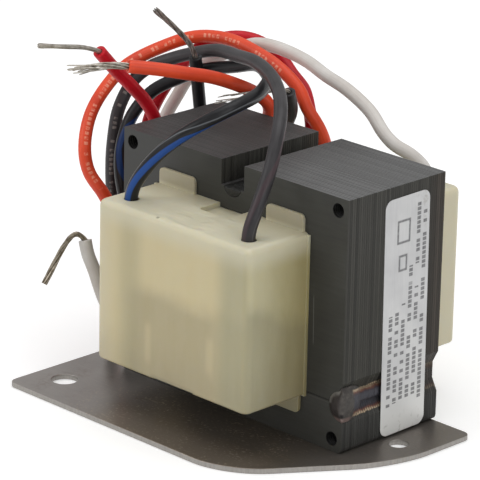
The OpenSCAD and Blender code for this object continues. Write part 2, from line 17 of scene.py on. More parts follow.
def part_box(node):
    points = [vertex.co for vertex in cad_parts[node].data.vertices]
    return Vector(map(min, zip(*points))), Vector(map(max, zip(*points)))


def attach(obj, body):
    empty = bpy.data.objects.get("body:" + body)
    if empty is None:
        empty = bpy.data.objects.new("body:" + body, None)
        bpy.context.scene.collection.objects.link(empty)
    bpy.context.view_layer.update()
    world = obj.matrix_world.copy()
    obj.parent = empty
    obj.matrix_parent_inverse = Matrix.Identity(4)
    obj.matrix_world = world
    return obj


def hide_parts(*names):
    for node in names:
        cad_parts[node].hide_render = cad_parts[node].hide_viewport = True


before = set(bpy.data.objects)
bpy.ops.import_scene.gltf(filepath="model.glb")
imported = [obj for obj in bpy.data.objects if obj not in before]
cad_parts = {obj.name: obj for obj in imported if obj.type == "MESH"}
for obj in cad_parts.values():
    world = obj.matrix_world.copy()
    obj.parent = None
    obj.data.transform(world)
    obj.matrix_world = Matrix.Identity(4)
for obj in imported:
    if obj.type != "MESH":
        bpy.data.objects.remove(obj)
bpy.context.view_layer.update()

MM = 0.001
LOG = logging.getLogger("transformer")

Point = tuple[float, float, float]
Colour = tuple[float, float, float]
Socket = bpy.types.NodeSocket
Input = Union[float, Colour, Socket]
Keys = tuple[tuple[float, float], ...]
# A span fades from its first value to its second. A band has a middle, a half width and a soft width.
Span = tuple[float, float]
Band = tuple[float, float, float]
Piece = bpy.types.Object
EdgeTest = Callable[[Vector, Vector], bool]


class Axis(Enum):
    """Axes that rods lie along, with the turn that lays a rod so."""

    Y = (math.pi / 2, 0.0, 0.0)
    Z = (0.0, 0.0, 0.0)


class Join(Enum):
    """Ways to combine two solids."""

    ADD = "UNION"
    CUT = "DIFFERENCE"


def linear(red: int, green: int, blue: int) -> Colour:
    """Turns a screen colour into the linear values that shaders take.

    Args:
        red: Red from 0 to 255.
        green: Green from 0 to 255.
        blue: Blue from 0 to 255.

    Returns:
        The three linear values.
    """
    parts = []
    for part in (red, green, blue):
        share = part / 255
        parts.append(share / 12.92 if share <= 0.04045 else ((share + 0.055) / 1.055) ** 2.4)
    return parts[0], parts[1], parts[2]


def node_box(node: str) -> tuple[Vector, Vector]:
    """Gives a CAD node's lowest and highest corners in millimetres.

    Args:
        node: Name of the node.

    Returns:
        The two corners.
    """
    low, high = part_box(node)
    return Vector(low) / MM, Vector(high) / MM


def same(first: float, second: float) -> bool:
    """Tells whether two lengths agree to a hundredth of a millimetre."""
    return abs(first - second) < 0.01


def lies_at(first: Vector, second: Vector, height: float) -> bool:
    """Tells whether both ends of an edge are at a height."""
    return same(first.z, height) and same(second.z, height)


def upright_before(y: float) -> EdgeTest:
    """Gives the test for upright edges in front of a place."""
    return lambda a, b: abs(a.z - b.z) > 1.0 and a.y < y


class Bench:
    """Blender's operators, used one step at a time as at the bench."""

    @staticmethod
    def clear() -> None:
        """Deselects everything."""
        bpy.ops.object.select_all(action="DESELECT")

    @classmethod
    def hold(cls, piece: Piece) -> None:
        """Selects one piece alone and makes it active.

        Args:
            piece: Piece that is held.
        """
        cls.clear()
        piece.select_set(True)
        bpy.context.view_layer.objects.active = piece

    @classmethod
    def settle(cls, piece: Piece) -> None:
        """Moves a piece's place, turn and scale into its mesh."""
        cls.hold(piece)
        bpy.ops.object.transform_apply(location=True, rotation=True, scale=True)

    @classmethod
    def named(cls, name: str) -> Piece:
        """Names the piece just added and settles it.

        Args:
            name: Name of the piece.

        Returns:
            The piece.
        """
        piece = bpy.context.object
        piece.name = name
        piece.data.name = name
        cls.settle(piece)
        return piece

    @classmethod
    def block(cls, name: str, low: Sequence[float], high: Sequence[float]) -> Piece:
        """Adds a block between two corners.

        Args:
            name: Name of the block.
            low: Lowest corner in millimetres.
            high: Highest corner in millimetres.

        Returns:
            The block.
        """
        cls.clear()
        middle = [(a + b) / 2 * MM for a, b in zip(low, high)]
        bpy.ops.mesh.primitive_cube_add(size=1.0, location=middle)
        bpy.context.object.scale = [(b - a) * MM for a, b in zip(low, high)]
        return cls.named(name)

    @classmethod
    def rod(cls, name: str, middle: Point, radius: float, length: float, axis: Axis,
            sides: int = 40) -> Piece:
        """Adds a round rod.

        Args:
            name: Name of the rod.
            middle: Middle of the rod in millimetres.
            radius: Radius in millimetres.
            length: Length in millimetres.
            axis: Axis that the rod lies along.
            sides: Number of flats round it.

        Returns:
            The rod.
        """
        cls.clear()
        bpy.ops.mesh.primitive_cylinder_add(
            vertices=sides, radius=radius * MM, depth=length * MM,
            location=[c * MM for c in middle], rotation=axis.value)
        return cls.named(name)

    @classmethod
    def opened(cls, piece: Piece, kind: str, action: str) -> bmesh.types.BMesh:
        """Opens a piece in edit mode.

        Args:
            piece: Piece that is opened.
            kind: Blender's name of what is picked there, such as EDGE.
            action: Blender's word for picking all of it or none.

        Returns:
            The open mesh.
        """
        cls.hold(piece)
        bpy.ops.object.mode_set(mode="EDIT")
        bpy.ops.mesh.select_mode(type=kind)
        bpy.ops.mesh.select_all(action=action)
        return bmesh.from_edit_mesh(piece.data)

    @staticmethod
    def closed() -> None:
        """Leaves edit mode."""
        bpy.ops.object.mode_set(mode="OBJECT")

    @classmethod
    def merged_copy(cls, node: str, name: str) -> Piece:
        """Copies a CAD node's mesh into a new piece and merges its loose triangles.

        Args:
            node: Name of the CAD node.
            name: Name of the new piece.

        Returns:
            The new piece.
        """
        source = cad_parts[node]
        piece = bpy.data.objects.new(name, source.data.copy())
        piece.data.name = name
        bpy.context.scene.collection.objects.link(piece)
        cls.opened(piece, "VERT", "SELECT")
        bpy.ops.mesh.remove_doubles(threshold=1e-7)
        cls.closed()
        return piece

    @classmethod
    def combine(cls, piece: Piece, tool: Piece, join: Join) -> None:
        """Adds a tool solid to a piece, or cuts it away, and removes the tool.

        Args:
            piece: Piece that is changed.
            tool: Solid that is added or cut away.
            join: Which of the two is done.
        """
        cls.modify(piece, "BOOLEAN", operation=join.value, object=tool, solver="EXACT")
        bpy.data.objects.remove(tool)

    @classmethod
    def modify(cls, piece: Piece, kind: str, **settings: object) -> None:
        """Adds a modifier with its settings and applies it.

        Args:
            piece: Piece that is changed.
            kind: Blender's name of the modifier.
            **settings: Values of the modifier.
        """
        cls.hold(piece)
        modifier = piece.modifiers.new(kind.title(), kind)
        for name, value in settings.items():
            setattr(modifier, name, value)
        bpy.ops.object.modifier_apply(modifier=modifier.name)

    @classmethod
    def round_edges(cls, piece: Piece, wanted: EdgeTest, radius: float, segments: int) -> None:
        """Rounds the edges that a test picks.

        Args:
            piece: Piece that is changed.
            wanted: Test on an edge's two ends, in millimetres.
            radius: Distance of the new edges from the old one, in millimetres.
            segments: Number of strips in the rounding.
        """
        mesh = cls.opened(piece, "EDGE", "DESELECT")
        for edge in mesh.edges:
            first, second = (v.co / MM for v in edge.verts)
            edge.select_set(wanted(first, second))
        bmesh.update_edit_mesh(piece.data)
        bpy.ops.mesh.bevel(offset=radius * MM, segments=segments, profile=0.5, affect="EDGES",
                           clamp_overlap=True)
        cls.closed()

    @classmethod
    def soften(cls, piece: Piece, width: float, segments: int, angle: float = 38.0) -> None:
        """Breaks every sharp edge of a piece with a small bevel.

        Args:
            piece: Piece that is changed.
            width: Width of the bevel in millimetres.
            segments: Number of strips in it.
            angle: Least angle of an edge that is broken, in degrees.
        """
        cls.modify(piece, "BEVEL", width=width * MM, segments=segments, limit_method="ANGLE",
                   angle_limit=math.radians(angle), use_clamp_overlap=True, miter_outer="MITER_ARC")

    @classmethod
    def shade(cls, piece: Piece, angle: float) -> None:
        """Shades a piece smooth, apart from edges sharper than an angle in degrees."""
        cls.hold(piece)
        bpy.ops.object.shade_smooth_by_angle(angle=math.radians(angle))

    @classmethod
    def joined(cls, pieces: Sequence[Piece], name: str) -> Piece:
        """Joins several pieces into one.

        Args:
            pieces: Pieces that are joined.
            name: Name of the result.

        Returns:
            The joined piece.
        """
        cls.clear()
        for piece in pieces:
            piece.select_set(True)
        bpy.context.view_layer.objects.active = pieces[0]
        bpy.ops.object.join()
        return cls.named(name)


@dataclass(frozen=True)
class Grain:
    """Make-up of a noise: its fineness, its finer layers and its stretch along each axis."""

    scale: float
    detail: float = 2.0
    rough: float = 0.5
    stretch: Point = (1.0, 1.0, 1.0)


class Recipe:
    """Wires the nodes of one procedural material."""

    def __init__(self, name: str) -> None:
        """Starts a material with a Principled shader.

        Args:
            name: Name of the material.
        """
        self.material = bpy.data.materials.new(name)
        self.material.use_nodes = True
        self.tree = self.material.node_tree
        self.shader = self.tree.nodes["Principled BSDF"]
        coordinates = self.tree.nodes.new("ShaderNodeTexCoord")
        self.place = coordinates.outputs["Object"]
        self.facing = coordinates.outputs["Normal"]
        self.uv = coordinates.outputs["UV"]

    def put(self, socket: Socket, value: Input) -> None:
        """Links a socket to another, or sets its own value.

        Args:
            socket: Socket that is set.
            value: Another socket, a number or a colour.
        """
        if isinstance(value, bpy.types.NodeSocket):
            self.tree.links.new(value, socket)
        elif isinstance(value, tuple) and len(value) == 3 and socket.type == "RGBA":
            socket.default_value = (*value, 1.0)
        else:
            socket.default_value = value

    def add(self, kind: str, settings: Optional[dict[str, object]] = None, **inputs: Input) -> bpy.types.Node:
        """Adds a node.

        Args:
            kind: Blender's name of the node, without its prefix.
            settings: The node's own settings.
            **inputs: Values of its input sockets, by name.

        Returns:
            The node.
        """
        node = self.tree.nodes.new("ShaderNode" + kind)
        for name, value in (settings or {}).items():
            setattr(node, name, value)
        for name, value in inputs.items():
            self.put(node.inputs[name.replace("_", " ")], value)
        return node

    def millimetres(self, middle: Point = (0.0, 0.0, 0.0), stretch: Point = (1.0, 1.0, 1.0)) -> Socket:
        """Gives the place on the part in millimetres from a middle.

        Args:
            middle: Point that becomes the zero, in millimetres.
            stretch: Factor on each axis.

        Returns:
            The vector socket.
        """
        scale = tuple(s / MM for s in stretch)
        shift = tuple(-m * s for m, s in zip(middle, stretch))
        return self.add("Mapping", Vector=self.place, Location=shift, Scale=scale).outputs["Vector"]

    def split(self, vector: Socket) -> tuple[Socket, Socket, Socket]:
        """Splits a vector into its three parts."""
        parts = self.add("SeparateXYZ", Vector=vector).outputs
        return parts[0], parts[1], parts[2]

    def sums(self, operation: str, first: Input, second: Input = 0.0, clamp: bool = False) -> Socket:
        """Does one sum.

        Args:
            operation: Blender's name of the sum.
            first: First value.
            second: Second value.
            clamp: Whether the result is kept between 0 and 1.

        Returns:
            The result's socket.
        """
        node = self.add("Math", {"operation": operation, "use_clamp": clamp})
        self.put(node.inputs[0], first)
        self.put(node.inputs[1], second)
        return node.outputs[0]

    def plus(self, first: Input, second: Input) -> Socket:
        """Adds two values."""
        return self.sums("ADD", first, second)

    def minus(self, first: Input, second: Input) -> Socket:
        """Takes the second value from the first."""
        return self.sums("SUBTRACT", first, second)

    def times(self, first: Input, second: Input) -> Socket:
        """Multiplies two values."""
        return self.sums("MULTIPLY", first, second)

    def ratio(self, first: Input, second: Input) -> Socket:
        """Divides the first value by the second."""
        return self.sums("DIVIDE", first, second)

    def size(self, value: Input) -> Socket:
        """Gives a value without its sign."""
        return self.sums("ABSOLUTE", value)

    def weighed(self, *parts: tuple[Socket, float]) -> Socket:
        """Adds values, each times its weight.

        Args:
            *parts: Values and their weights.

        Returns:
            The result's socket.
        """
        total = self.times(*parts[0])
        for part in parts[1:]:
            total = self.plus(total, self.times(*part))
        return total

    def turned_to(self, axis: int) -> Socket:
        """Gives how far a face is turned to X, Y or Z, numbered from 0, to either side."""
        return self.size(self.split(self.facing)[axis])

    def turned_up(self) -> Socket:
        """Gives how far a face is turned up."""
        return self.split(self.facing)[2]

    def on_sleeve(self) -> tuple[Socket, Socket]:
        """Gives the turn round a sleeve and the run along it in millimetres."""
        around, along, _ = self.split(self.uv)
        return around, self.ratio(along, MM)

    def grain(self, grain: Grain, place: Optional[Socket] = None) -> Socket:
        """Gives smooth noise from about 0 to 1.

        Args:
            grain: Make-up of the noise.
            place: Where it is read, or nothing for the stretched place on the part.

        Returns:
            The noise's socket.
        """
        spot = self.millimetres(stretch=grain.stretch) if place is None else place
        node = self.add("TexNoise", Vector=spot, Scale=grain.scale, Detail=grain.detail,
                        Roughness=grain.rough)
        return node.outputs["Fac"]

    def wander(self, grain: Grain, reach: float) -> Socket:
        """Gives noise about nought, up to half a reach to either side."""
        return self.times(self.minus(self.grain(grain), 0.5), reach)

    def chance(self, value: Socket) -> Socket:
        """Gives a random number from 0 to 1 for each value."""
        return self.add("TexWhiteNoise", {"noise_dimensions": "1D"}, W=value).outputs["Value"]

    def fade(self, value: Socket, low: float, high: float) -> Socket:
        """Fades from 0 at one value to 1 at another.

        Args:
            value: Value that is read.
            low: Value that gives 0.
            high: Value that gives 1.

        Returns:
            The fade's socket.
        """
        node = self.add("MapRange", {"interpolation_type": "SMOOTHSTEP"}, Value=value, From_Min=low,
                        From_Max=high)
        return node.outputs["Result"]

    def band(self, value: Socket, middle: float, half: float, soft: float) -> Socket:
        """Gives 1 near a middle value and 0 away from it.

        Args:
            value: Value that is read.
            middle: Middle of the band.
            half: Half width where the band has faded to a half.
            soft: Width of the fade.

        Returns:
            The band's socket.
        """
        away = self.size(self.minus(value, middle))
        return self.fade(away, half + soft / 2, half - soft / 2)

    def all_of(self, *masks: Socket) -> Socket:
        """Multiplies several masks.

        Args:
            *masks: Masks from 0 to 1.

        Returns:
            The product's socket.
        """
        result = masks[0]
        for mask in masks[1:]:
            result = self.times(result, mask)
        return result

    def mix(self, share: Input, first: Input, second: Input, mode: str = "MIX") -> Socket:
        """Mixes two colours.

        Args:
            share: Share of the second colour.
            first: First colour.
            second: Second colour.
            mode: Blender's name of the mixing.

        Returns:
            The mixed colour's socket.
        """
        node = self.add("Mix", {"data_type": "RGBA", "blend_type": mode})
        self.put(node.inputs[0], share)
        self.put(node.inputs[6], first)
        self.put(node.inputs[7], second)
        return node.outputs[2]

    def lay(self, mask: Socket, share: float, under: Input, over: Input) -> Socket:
        """Lays one colour over another where a mask shows.

        Args:
            mask: Where the upper colour lies.
            share: How much of it covers there.
            under: Lower colour.
            over: Upper colour.

        Returns:
            The colour's socket.
        """
        return self.mix(self.times(mask, share), under, over)

    def scaled(self, colour: Input, value: Socket, low: float, high: float) -> Socket:
        """Darkens and lightens a colour by a value.

        Args:
            colour: Colour that is changed.
            value: Value from 0 to 1.
            low: Factor at 0.
            high: Factor at 1.

        Returns:
            The colour's socket.
        """
        return self.mix(1.0, colour, self.spread(value, low, high), "MULTIPLY")

    def ramp(self, value: Socket, stops: Sequence[tuple[float, Colour]]) -> Socket:
        """Turns a value into a colour.

        Args:
            value: Value from 0 to 1.
            stops: Positions and their colours, in order.

        Returns:
            The colour's socket.
        """
        node = self.add("ValToRGB", Fac=value)
        bar = node.color_ramp.elements
        while len(bar) < len(stops):
            bar.new(1.0)
        for element, (position, colour) in zip(bar, stops):
            element.position = position
            element.color = (*colour, 1.0)
        return node.outputs["Color"]

    def spread(self, value: Socket, low: float, high: float) -> Socket:
        """Maps 0 to 1 onto another range.

        Args:
            value: Value from 0 to 1.
            low: What 0 becomes.
            high: What 1 becomes.

        Returns:
            The mapped value's socket.
        """
        return self.add("MapRange", Value=value, To_Min=low, To_Max=high).outputs["Result"]

    def bump(self, height: Socket, depth: float, under: Optional[Socket] = None) -> Socket:
        """Turns a height into a bumped normal.

        Args:
            height: Height from 0 to 1.
            depth: Depth of the bumps in millimetres.
            under: Normal of a coarser bump beneath.

        Returns:
            The normal's socket.
        """
        node = self.add("Bump", Height=height, Distance=depth * MM, Strength=1.0)
        if under is not None:
            self.put(node.inputs["Normal"], under)
        return node.outputs["Normal"]

    def done(self, **inputs: Input) -> bpy.types.Material:
        """Sets the shader's sockets.

        Args:
            **inputs: Values of the Principled shader's sockets, by name.

        Returns:
            The finished material.
        """
        for name, value in inputs.items():
            self.put(self.shader.inputs[name.replace("_", " ")], value)
        return self.material


@dataclass(frozen=True)
class HeatTint:
    """Colours that welding leaves along a seam: blue on the bead, then purple, brown and straw."""

    joint_z: float
    side_x: float
    front_y: float
    drop: float = 0.4
    lean: float = 0.5
    reach: float = 3.1
    ragged: float = 1.1
    start: Span = (2.6, 3.4)
    paling: Span = (2.0, 9.0)
    strength: float = 0.92
    lost: float = 0.72
    uneven: Grain = Grain(0.9, 3.0, 0.6)
    blue: Colour = linear(60, 60, 68)
    purple: Colour = linear(62, 48, 54)
    brown: Colour = linear(112, 72, 58)
    straw: Colour = linear(176, 157, 132)

    def over(self, r: Recipe, colour: Input) -> Socket:
        """Lays the tint over a colour.

        Args:
            r: Recipe of the material.
            colour: Colour of the metal beyond the tint.

        Returns:
            The tinted colour's socket.
        """
        x, y, z = r.split(r.millimetres())
        depth = r.minus(self.side_x, r.size(x))
        height = r.plus(r.minus(z, self.joint_z - self.drop), r.times(depth, self.lean))
        away = r.plus(r.size(height), r.wander(self.uneven, self.ragged))
        tint = r.ramp(r.ratio(away, self.reach),
                      [(0.45, self.blue), (0.56, self.purple), (0.7, self.brown), (0.85, self.straw)])
        shown = r.all_of(r.fade(away, self.reach, self.reach - 0.25),
                         r.fade(y, self.front_y + self.start[0], self.front_y + self.start[1]),
                         r.fade(r.turned_to(1), 0.7, 0.4))
        paler = r.minus(self.strength, r.times(r.fade(y, *self.paling), self.lost))
        return r.mix(r.times(shown, paler), colour, tint)


@dataclass(frozen=True)
class CoreVarnish:
    """Dark varnish on stacked steel sheets, with a joint line and heat tint along the welded grooves."""

    half_depth: float
    pitch: float
    joint_z: float
    side_x: float
    bolt_x: float
    bolt_z: Span
    bolt_r: float
    streak: Grain = Grain(1.0, 3.0, 0.6, (0.25, 6.0, 0.25))
    cloud: Grain = Grain(0.09, 3.0, 0.55)
    fine: Grain = Grain(2.6, 3.0, 0.6)
    rub: Grain = Grain(1.0, 3.0, 0.55, (0.12, 1.0, 1.6))
    across_top: Span = (-9.0, 20.0)
    top_play: Span = (0.7, 1.3)
    down_side: Span = (50.0, 26.0)
    side_play: Span = (0.3, 1.65)
    near_back: Span = (8.5, 12.5)
    near_foot: Span = (-1.0, -6.0)
    near_left: Span = (-12.0, -24.0)
    joint_line: Span = (0.15, 0.17)
    joint_highlight_band: Band = (-0.55, 0.12, 0.2)
    scratch_x: Band = (25.0, 0.09, 0.1)
    scratch_z: Band = (28.6, 5.2, 1.5)
    scratch_lean: float = 0.02
    dark: Colour = linear(59, 58, 56)
    flat: Colour = linear(64, 64, 60)
    rubbed: Colour = linear(70, 70, 67)
    flat_left: Colour = linear(75, 75, 74)
    side: Colour = linear(60, 59, 55)
    side_low: Colour = linear(55, 54, 49)
    side_back: Colour = linear(62, 55, 49)
    foot: Colour = linear(55, 55, 53)
    top_lead_shadow: Colour = linear(72, 70, 70)
    top_lit: Colour = linear(104, 104, 104)
    scratch: Colour = linear(126, 126, 122)
    joint: Colour = linear(20, 19, 17)
    joint_highlight: Colour = linear(88, 86, 82)
    bolt_shade: Colour = linear(12, 12, 12)

    def edges(self, r: Recipe) -> Socket:
        """Colours the edges of the sheets, each sheet in a tone of its own, with painted shade and light
        across the tops.

        Args:
            r: Recipe of the material.

        Returns:
            The colour's socket.
        """
        x, y, z = r.split(r.millimetres())
        sheet = r.sums("FLOOR", r.ratio(r.plus(y, self.half_depth), self.pitch))
        tone = r.weighed((r.chance(sheet), 0.5), (r.grain(self.streak), 0.5))
        # Painted light and shade: the sheet tops are darker on the left, where the leads shade them, and
        # lighter on the right.
        tops = r.mix(r.fade(x, *self.across_top), self.top_lead_shadow, self.top_lit)
        tops = r.scaled(tops, tone, *self.top_play)
        sides = r.mix(r.fade(z, *self.down_side), self.side, self.side_low)
        sides = r.lay(r.fade(y, *self.near_back), 0.8, sides, self.side_back)
        low = r.fade(z, self.joint_z + self.near_foot[0], self.joint_z + self.near_foot[1])
        sides = r.scaled(r.mix(low, sides, self.foot), tone, *self.side_play)
        return r.mix(r.fade(r.turned_up(), 0.4, 0.8), sides, tops)

    def flats(self, r: Recipe, cloud: Socket) -> Socket:
        """Colours the flat front and back, with the line where the two stacks meet and a painted highlight
        just below it.

        Args:
            r: Recipe of the material.
            cloud: Broad noise of the varnish.

        Returns:
            The colour's socket.
        """
        x, _, z = r.split(r.millimetres())
        tone = r.weighed((cloud, 0.6), (r.grain(self.rub), 0.4))
        colour = r.ramp(tone, [(0.3, self.dark), (0.5, self.flat), (0.72, self.rubbed)])
        colour = r.lay(r.fade(x, *self.near_left), 0.85, colour, self.flat_left)
        above = r.minus(z, self.joint_z)
        # Painted highlight: a pale strip along the edge just below the joint.
        colour = r.lay(r.band(above, *self.joint_highlight_band), 0.35, colour, self.joint_highlight)
        return r.lay(r.band(above, 0.0, *self.joint_line), 0.8, colour, self.joint)

    def material(self) -> bpy.types.Material:
        """Builds the material.

        Returns:
            The material.
        """
        r = Recipe("core_varnish")
        x, y, z = r.split(r.millimetres())
        cloud, fine = r.grain(self.cloud), r.grain(self.fine)
        colour = r.mix(r.fade(r.turned_to(1), 0.5, 0.8), self.edges(r), self.flats(r, cloud))
        scratch = r.all_of(r.band(r.plus(x, r.times(z, self.scratch_lean)), *self.scratch_x),
                           r.band(z, *self.scratch_z),
                           r.fade(y, 0.6 - self.half_depth, 0.2 - self.half_depth))
        colour = r.lay(scratch, 0.55, colour, self.scratch)
        colour = HeatTint(self.joint_z, self.side_x, -self.half_depth).over(r, colour)
        across = r.minus(r.size(x), self.bolt_x)
        for height in self.bolt_z:
            upward = r.minus(z, height)
            off = r.sums("SQRT", r.plus(r.times(across, across), r.times(upward, upward)))
            colour = r.mix(r.fade(off, self.bolt_r + 0.12, self.bolt_r - 0.04), colour, self.bolt_shade)
        return r.done(Base_Color=colour, Roughness=r.spread(r.weighed((cloud, 0.5), (fine, 0.5)), 0.36, 0.62),
                      Normal=r.bump(fine, 0.02, r.bump(cloud, 0.08)), Specular_IOR_Level=0.2)


@dataclass(frozen=True)
class NaturalNylon:
    """Cream translucent moulding, with the coil behind it painted faintly through it as shade."""

    name: str
    side_x: float
    rim_y: float
    front_y: float
    divider_z: float
    bottom_z: float
    shows_coil: bool
    soft: Grain = Grain(0.11)
    fine: Grain = Grain(0.9, 3.0, 0.55)
    flow: Grain = Grain(1.0, stretch=(0.3, 0.3, 0.06))
    ridges: Grain = Grain(1.0, 1.0, 0.4, (0.16, 0.3, 0.1))
    stray: Grain = Grain(0.75, 1.0, 0.4)
    sway: float = 5.0
    shade_band_x: Band = (-12.3, 3.0, 5.0)
    lit_x: float = -15.5
    dim_x: Span = (12.0, 17.2)
    coil_x: Span = (-16.0, -7.0)
    coil_end_x: Span = (11.0, 17.0)
    coil_shade: float = 0.3
    coil_shade_gaps: tuple[tuple[float, float, float, float], ...] = (
        (-6.6, 18.6, 0.9, 4.2), (11.9, 21.0, 1.0, 4.2))
    roof_z: Span = (41.0, 46.0)
    tab_z: Span = (47.0, 48.2)
    middle_y: float = 24.0
    foot_x: Band = (1.0, 6.5, 3.0)
    ridge_x: Band = (1.0, 8.0, 8.0)
    mark_x: Band = (-5.1, 0.35, 0.3)
    mark_y: float = 1.1
    mark_z: Span = (45.0, 46.0)
    corner_x: Span = (14.0, 19.0)
    hidden_x: Band = (0.0, 14.5, 9.0)
    wall: Colour = linear(202, 188, 147)
    shade_band: Colour = linear(181, 170, 132)
    lit_edge: Colour = linear(206, 196, 167)
    dim_edge: Colour = linear(171, 164, 130)
    side_front: Colour = linear(190, 184, 149)
    side_rim: Colour = linear(155, 143, 96)
    tab: Colour = linear(163, 155, 133)
    top: Colour = linear(206, 201, 177)
    roof_lead_shadow: Colour = linear(172, 164, 138)
    plain: Colour = linear(206, 199, 173)
    pale: Colour = linear(220, 213, 186)
    low: Colour = linear(128, 118, 98)
    foot: Colour = linear(104, 98, 82)
    speck: Colour = linear(92, 84, 66)

    def coil_glow(self, r: Recipe) -> Socket:
        """Colours the walls with painted light and shade: the coil's shade behind them, a shaded band, lit
        and dim edges.

        Args:
            r: Recipe of the material.

        Returns:
            The colour's socket.
        """
        x, y, z = r.split(r.millimetres())
        height = r.plus(z, r.wander(self.soft, self.sway))
        depth = r.size(y)
        # Painted shade: a darker upright band across the front wall.
        front = r.mix(r.band(x, *self.shade_band_x), self.wall, self.shade_band)
        front = r.mix(r.fade(x, self.lit_x, -self.side_x), front, self.lit_edge)
        front = r.mix(r.fade(x, *self.dim_x), front, self.dim_edge)
        # Painted shade of the coil behind the front wall, weaker at a few gaps.
        below = r.all_of(r.fade(height, self.divider_z + 4.5, self.divider_z - 0.5), r.fade(x, *self.coil_x),
                         r.minus(1.0, r.times(r.fade(x, *self.coil_end_x), 0.7)))
        for middle_x, middle_z, half_x, half_z in self.coil_shade_gaps:
            patch = r.all_of(r.band(x, middle_x, half_x, 1.6), r.band(height, middle_z, half_z, 3.0))
            below = r.sums("SUBTRACT", below, r.times(patch, 0.45), clamp=True)
        front = r.scaled(front, below, 1.0, 1.0 - self.coil_shade)
        side = r.mix(r.fade(depth, self.rim_y - 1.0, self.front_y + 3.0), self.side_rim, self.side_front)
        # Painted shade of the coil behind the side wall, with a sloping edge.
        lower = r.minus(height, r.times(r.minus(depth, self.middle_y), 0.4))
        below = r.fade(lower, self.divider_z + 5.0, self.divider_z - 0.4)
        side = r.scaled(side, below, 1.0, 1.0 - self.coil_shade)
        colour = r.mix(r.fade(r.turned_to(0), 0.35, 0.9), front, side)
        colour = r.lay(r.fade(z, *self.roof_z), 0.75, colour, self.top)
        colour = r.lay(r.fade(z, *self.tab_z), 0.9, colour, self.tab)
        # Painted shade: the walls darken towards the bottom.
        colour = r.lay(r.fade(z, self.divider_z - 6.0, self.bottom_z), 0.22, colour, self.low)
        # Painted shade in the foot recess.
        recess = r.all_of(r.band(x, *self.foot_x), r.fade(z, self.bottom_z + 1.7, self.bottom_z + 0.5))
        return r.lay(recess, 0.4, colour, self.foot)

    def plain_glow(self, r: Recipe) -> Socket:
        """Colours plain walls, with the coil's painted shade faintly on the outer face and a painted lit edge
        near the corners.

        Args:
            r: Recipe of the material.

        Returns:
            The colour's socket.
        """
        x, _, z = r.split(r.millimetres())
        height = r.plus(z, r.wander(self.soft, self.sway))
        outer = r.fade(r.turned_to(1), 0.6, 0.95)
        colour = r.mix(outer, self.plain, self.wall)
        colour = r.mix(r.all_of(outer, r.fade(r.size(x), *self.corner_x)), colour, self.lit_edge)
        # Painted shade of the coil behind the outer face.
        below = r.all_of(outer, r.band(x, *self.hidden_x),
                         r.fade(height, self.divider_z + 6.0, self.divider_z - 3.0))
        return r.scaled(colour, below, 1.0, 1.0 - 0.7 * self.coil_shade)

    def material(self) -> bpy.types.Material:
        """Builds the material.

        Returns:
            The material.
        """
        r = Recipe(self.name)
        x, y, z = r.split(r.millimetres())
        fine = r.grain(self.fine)
        colour = self.coil_glow(r) if self.shows_coil else self.plain_glow(r)
        colour = r.mix(r.spread(r.grain(self.flow), 0.0, 0.16), colour, self.pale)
        up = r.fade(r.turned_up(), 0.6, 0.92)
        # Painted shadow of the leads towards the back of the roof.
        roof = r.mix(r.fade(r.size(y), self.middle_y, self.rim_y), self.top, self.roof_lead_shadow)
        colour = r.lay(up, 0.75, colour, roof)
        ridge = r.all_of(r.fade(r.grain(self.ridges), 0.4, 0.7), r.band(x, *self.ridge_x), up)
        colour = r.lay(ridge, 0.45, colour, self.pale)
        mark = r.all_of(r.band(x, *self.mark_x), r.band(y, self.mark_y - self.front_y, 0.3, 0.3),
                        r.fade(z, *self.mark_z))
        stray = r.all_of(r.fade(r.grain(self.stray), 0.79, 0.83), r.fade(fine, 0.45, 0.7))
        colour = r.lay(r.sums("MAXIMUM", mark, stray), 0.6, colour, self.speck)
        normal = r.bump(fine, 0.03, r.bump(ridge, 0.2, r.bump(r.grain(self.soft), 0.5)))
        return r.done(Base_Color=colour, Roughness=r.spread(fine, 0.36, 0.56), Normal=normal,
                      Subsurface_Weight=0.3, Subsurface_Scale=0.0022, Subsurface_Radius=(1.0, 0.72, 0.38),
                      Specular_IOR_Level=0.45)


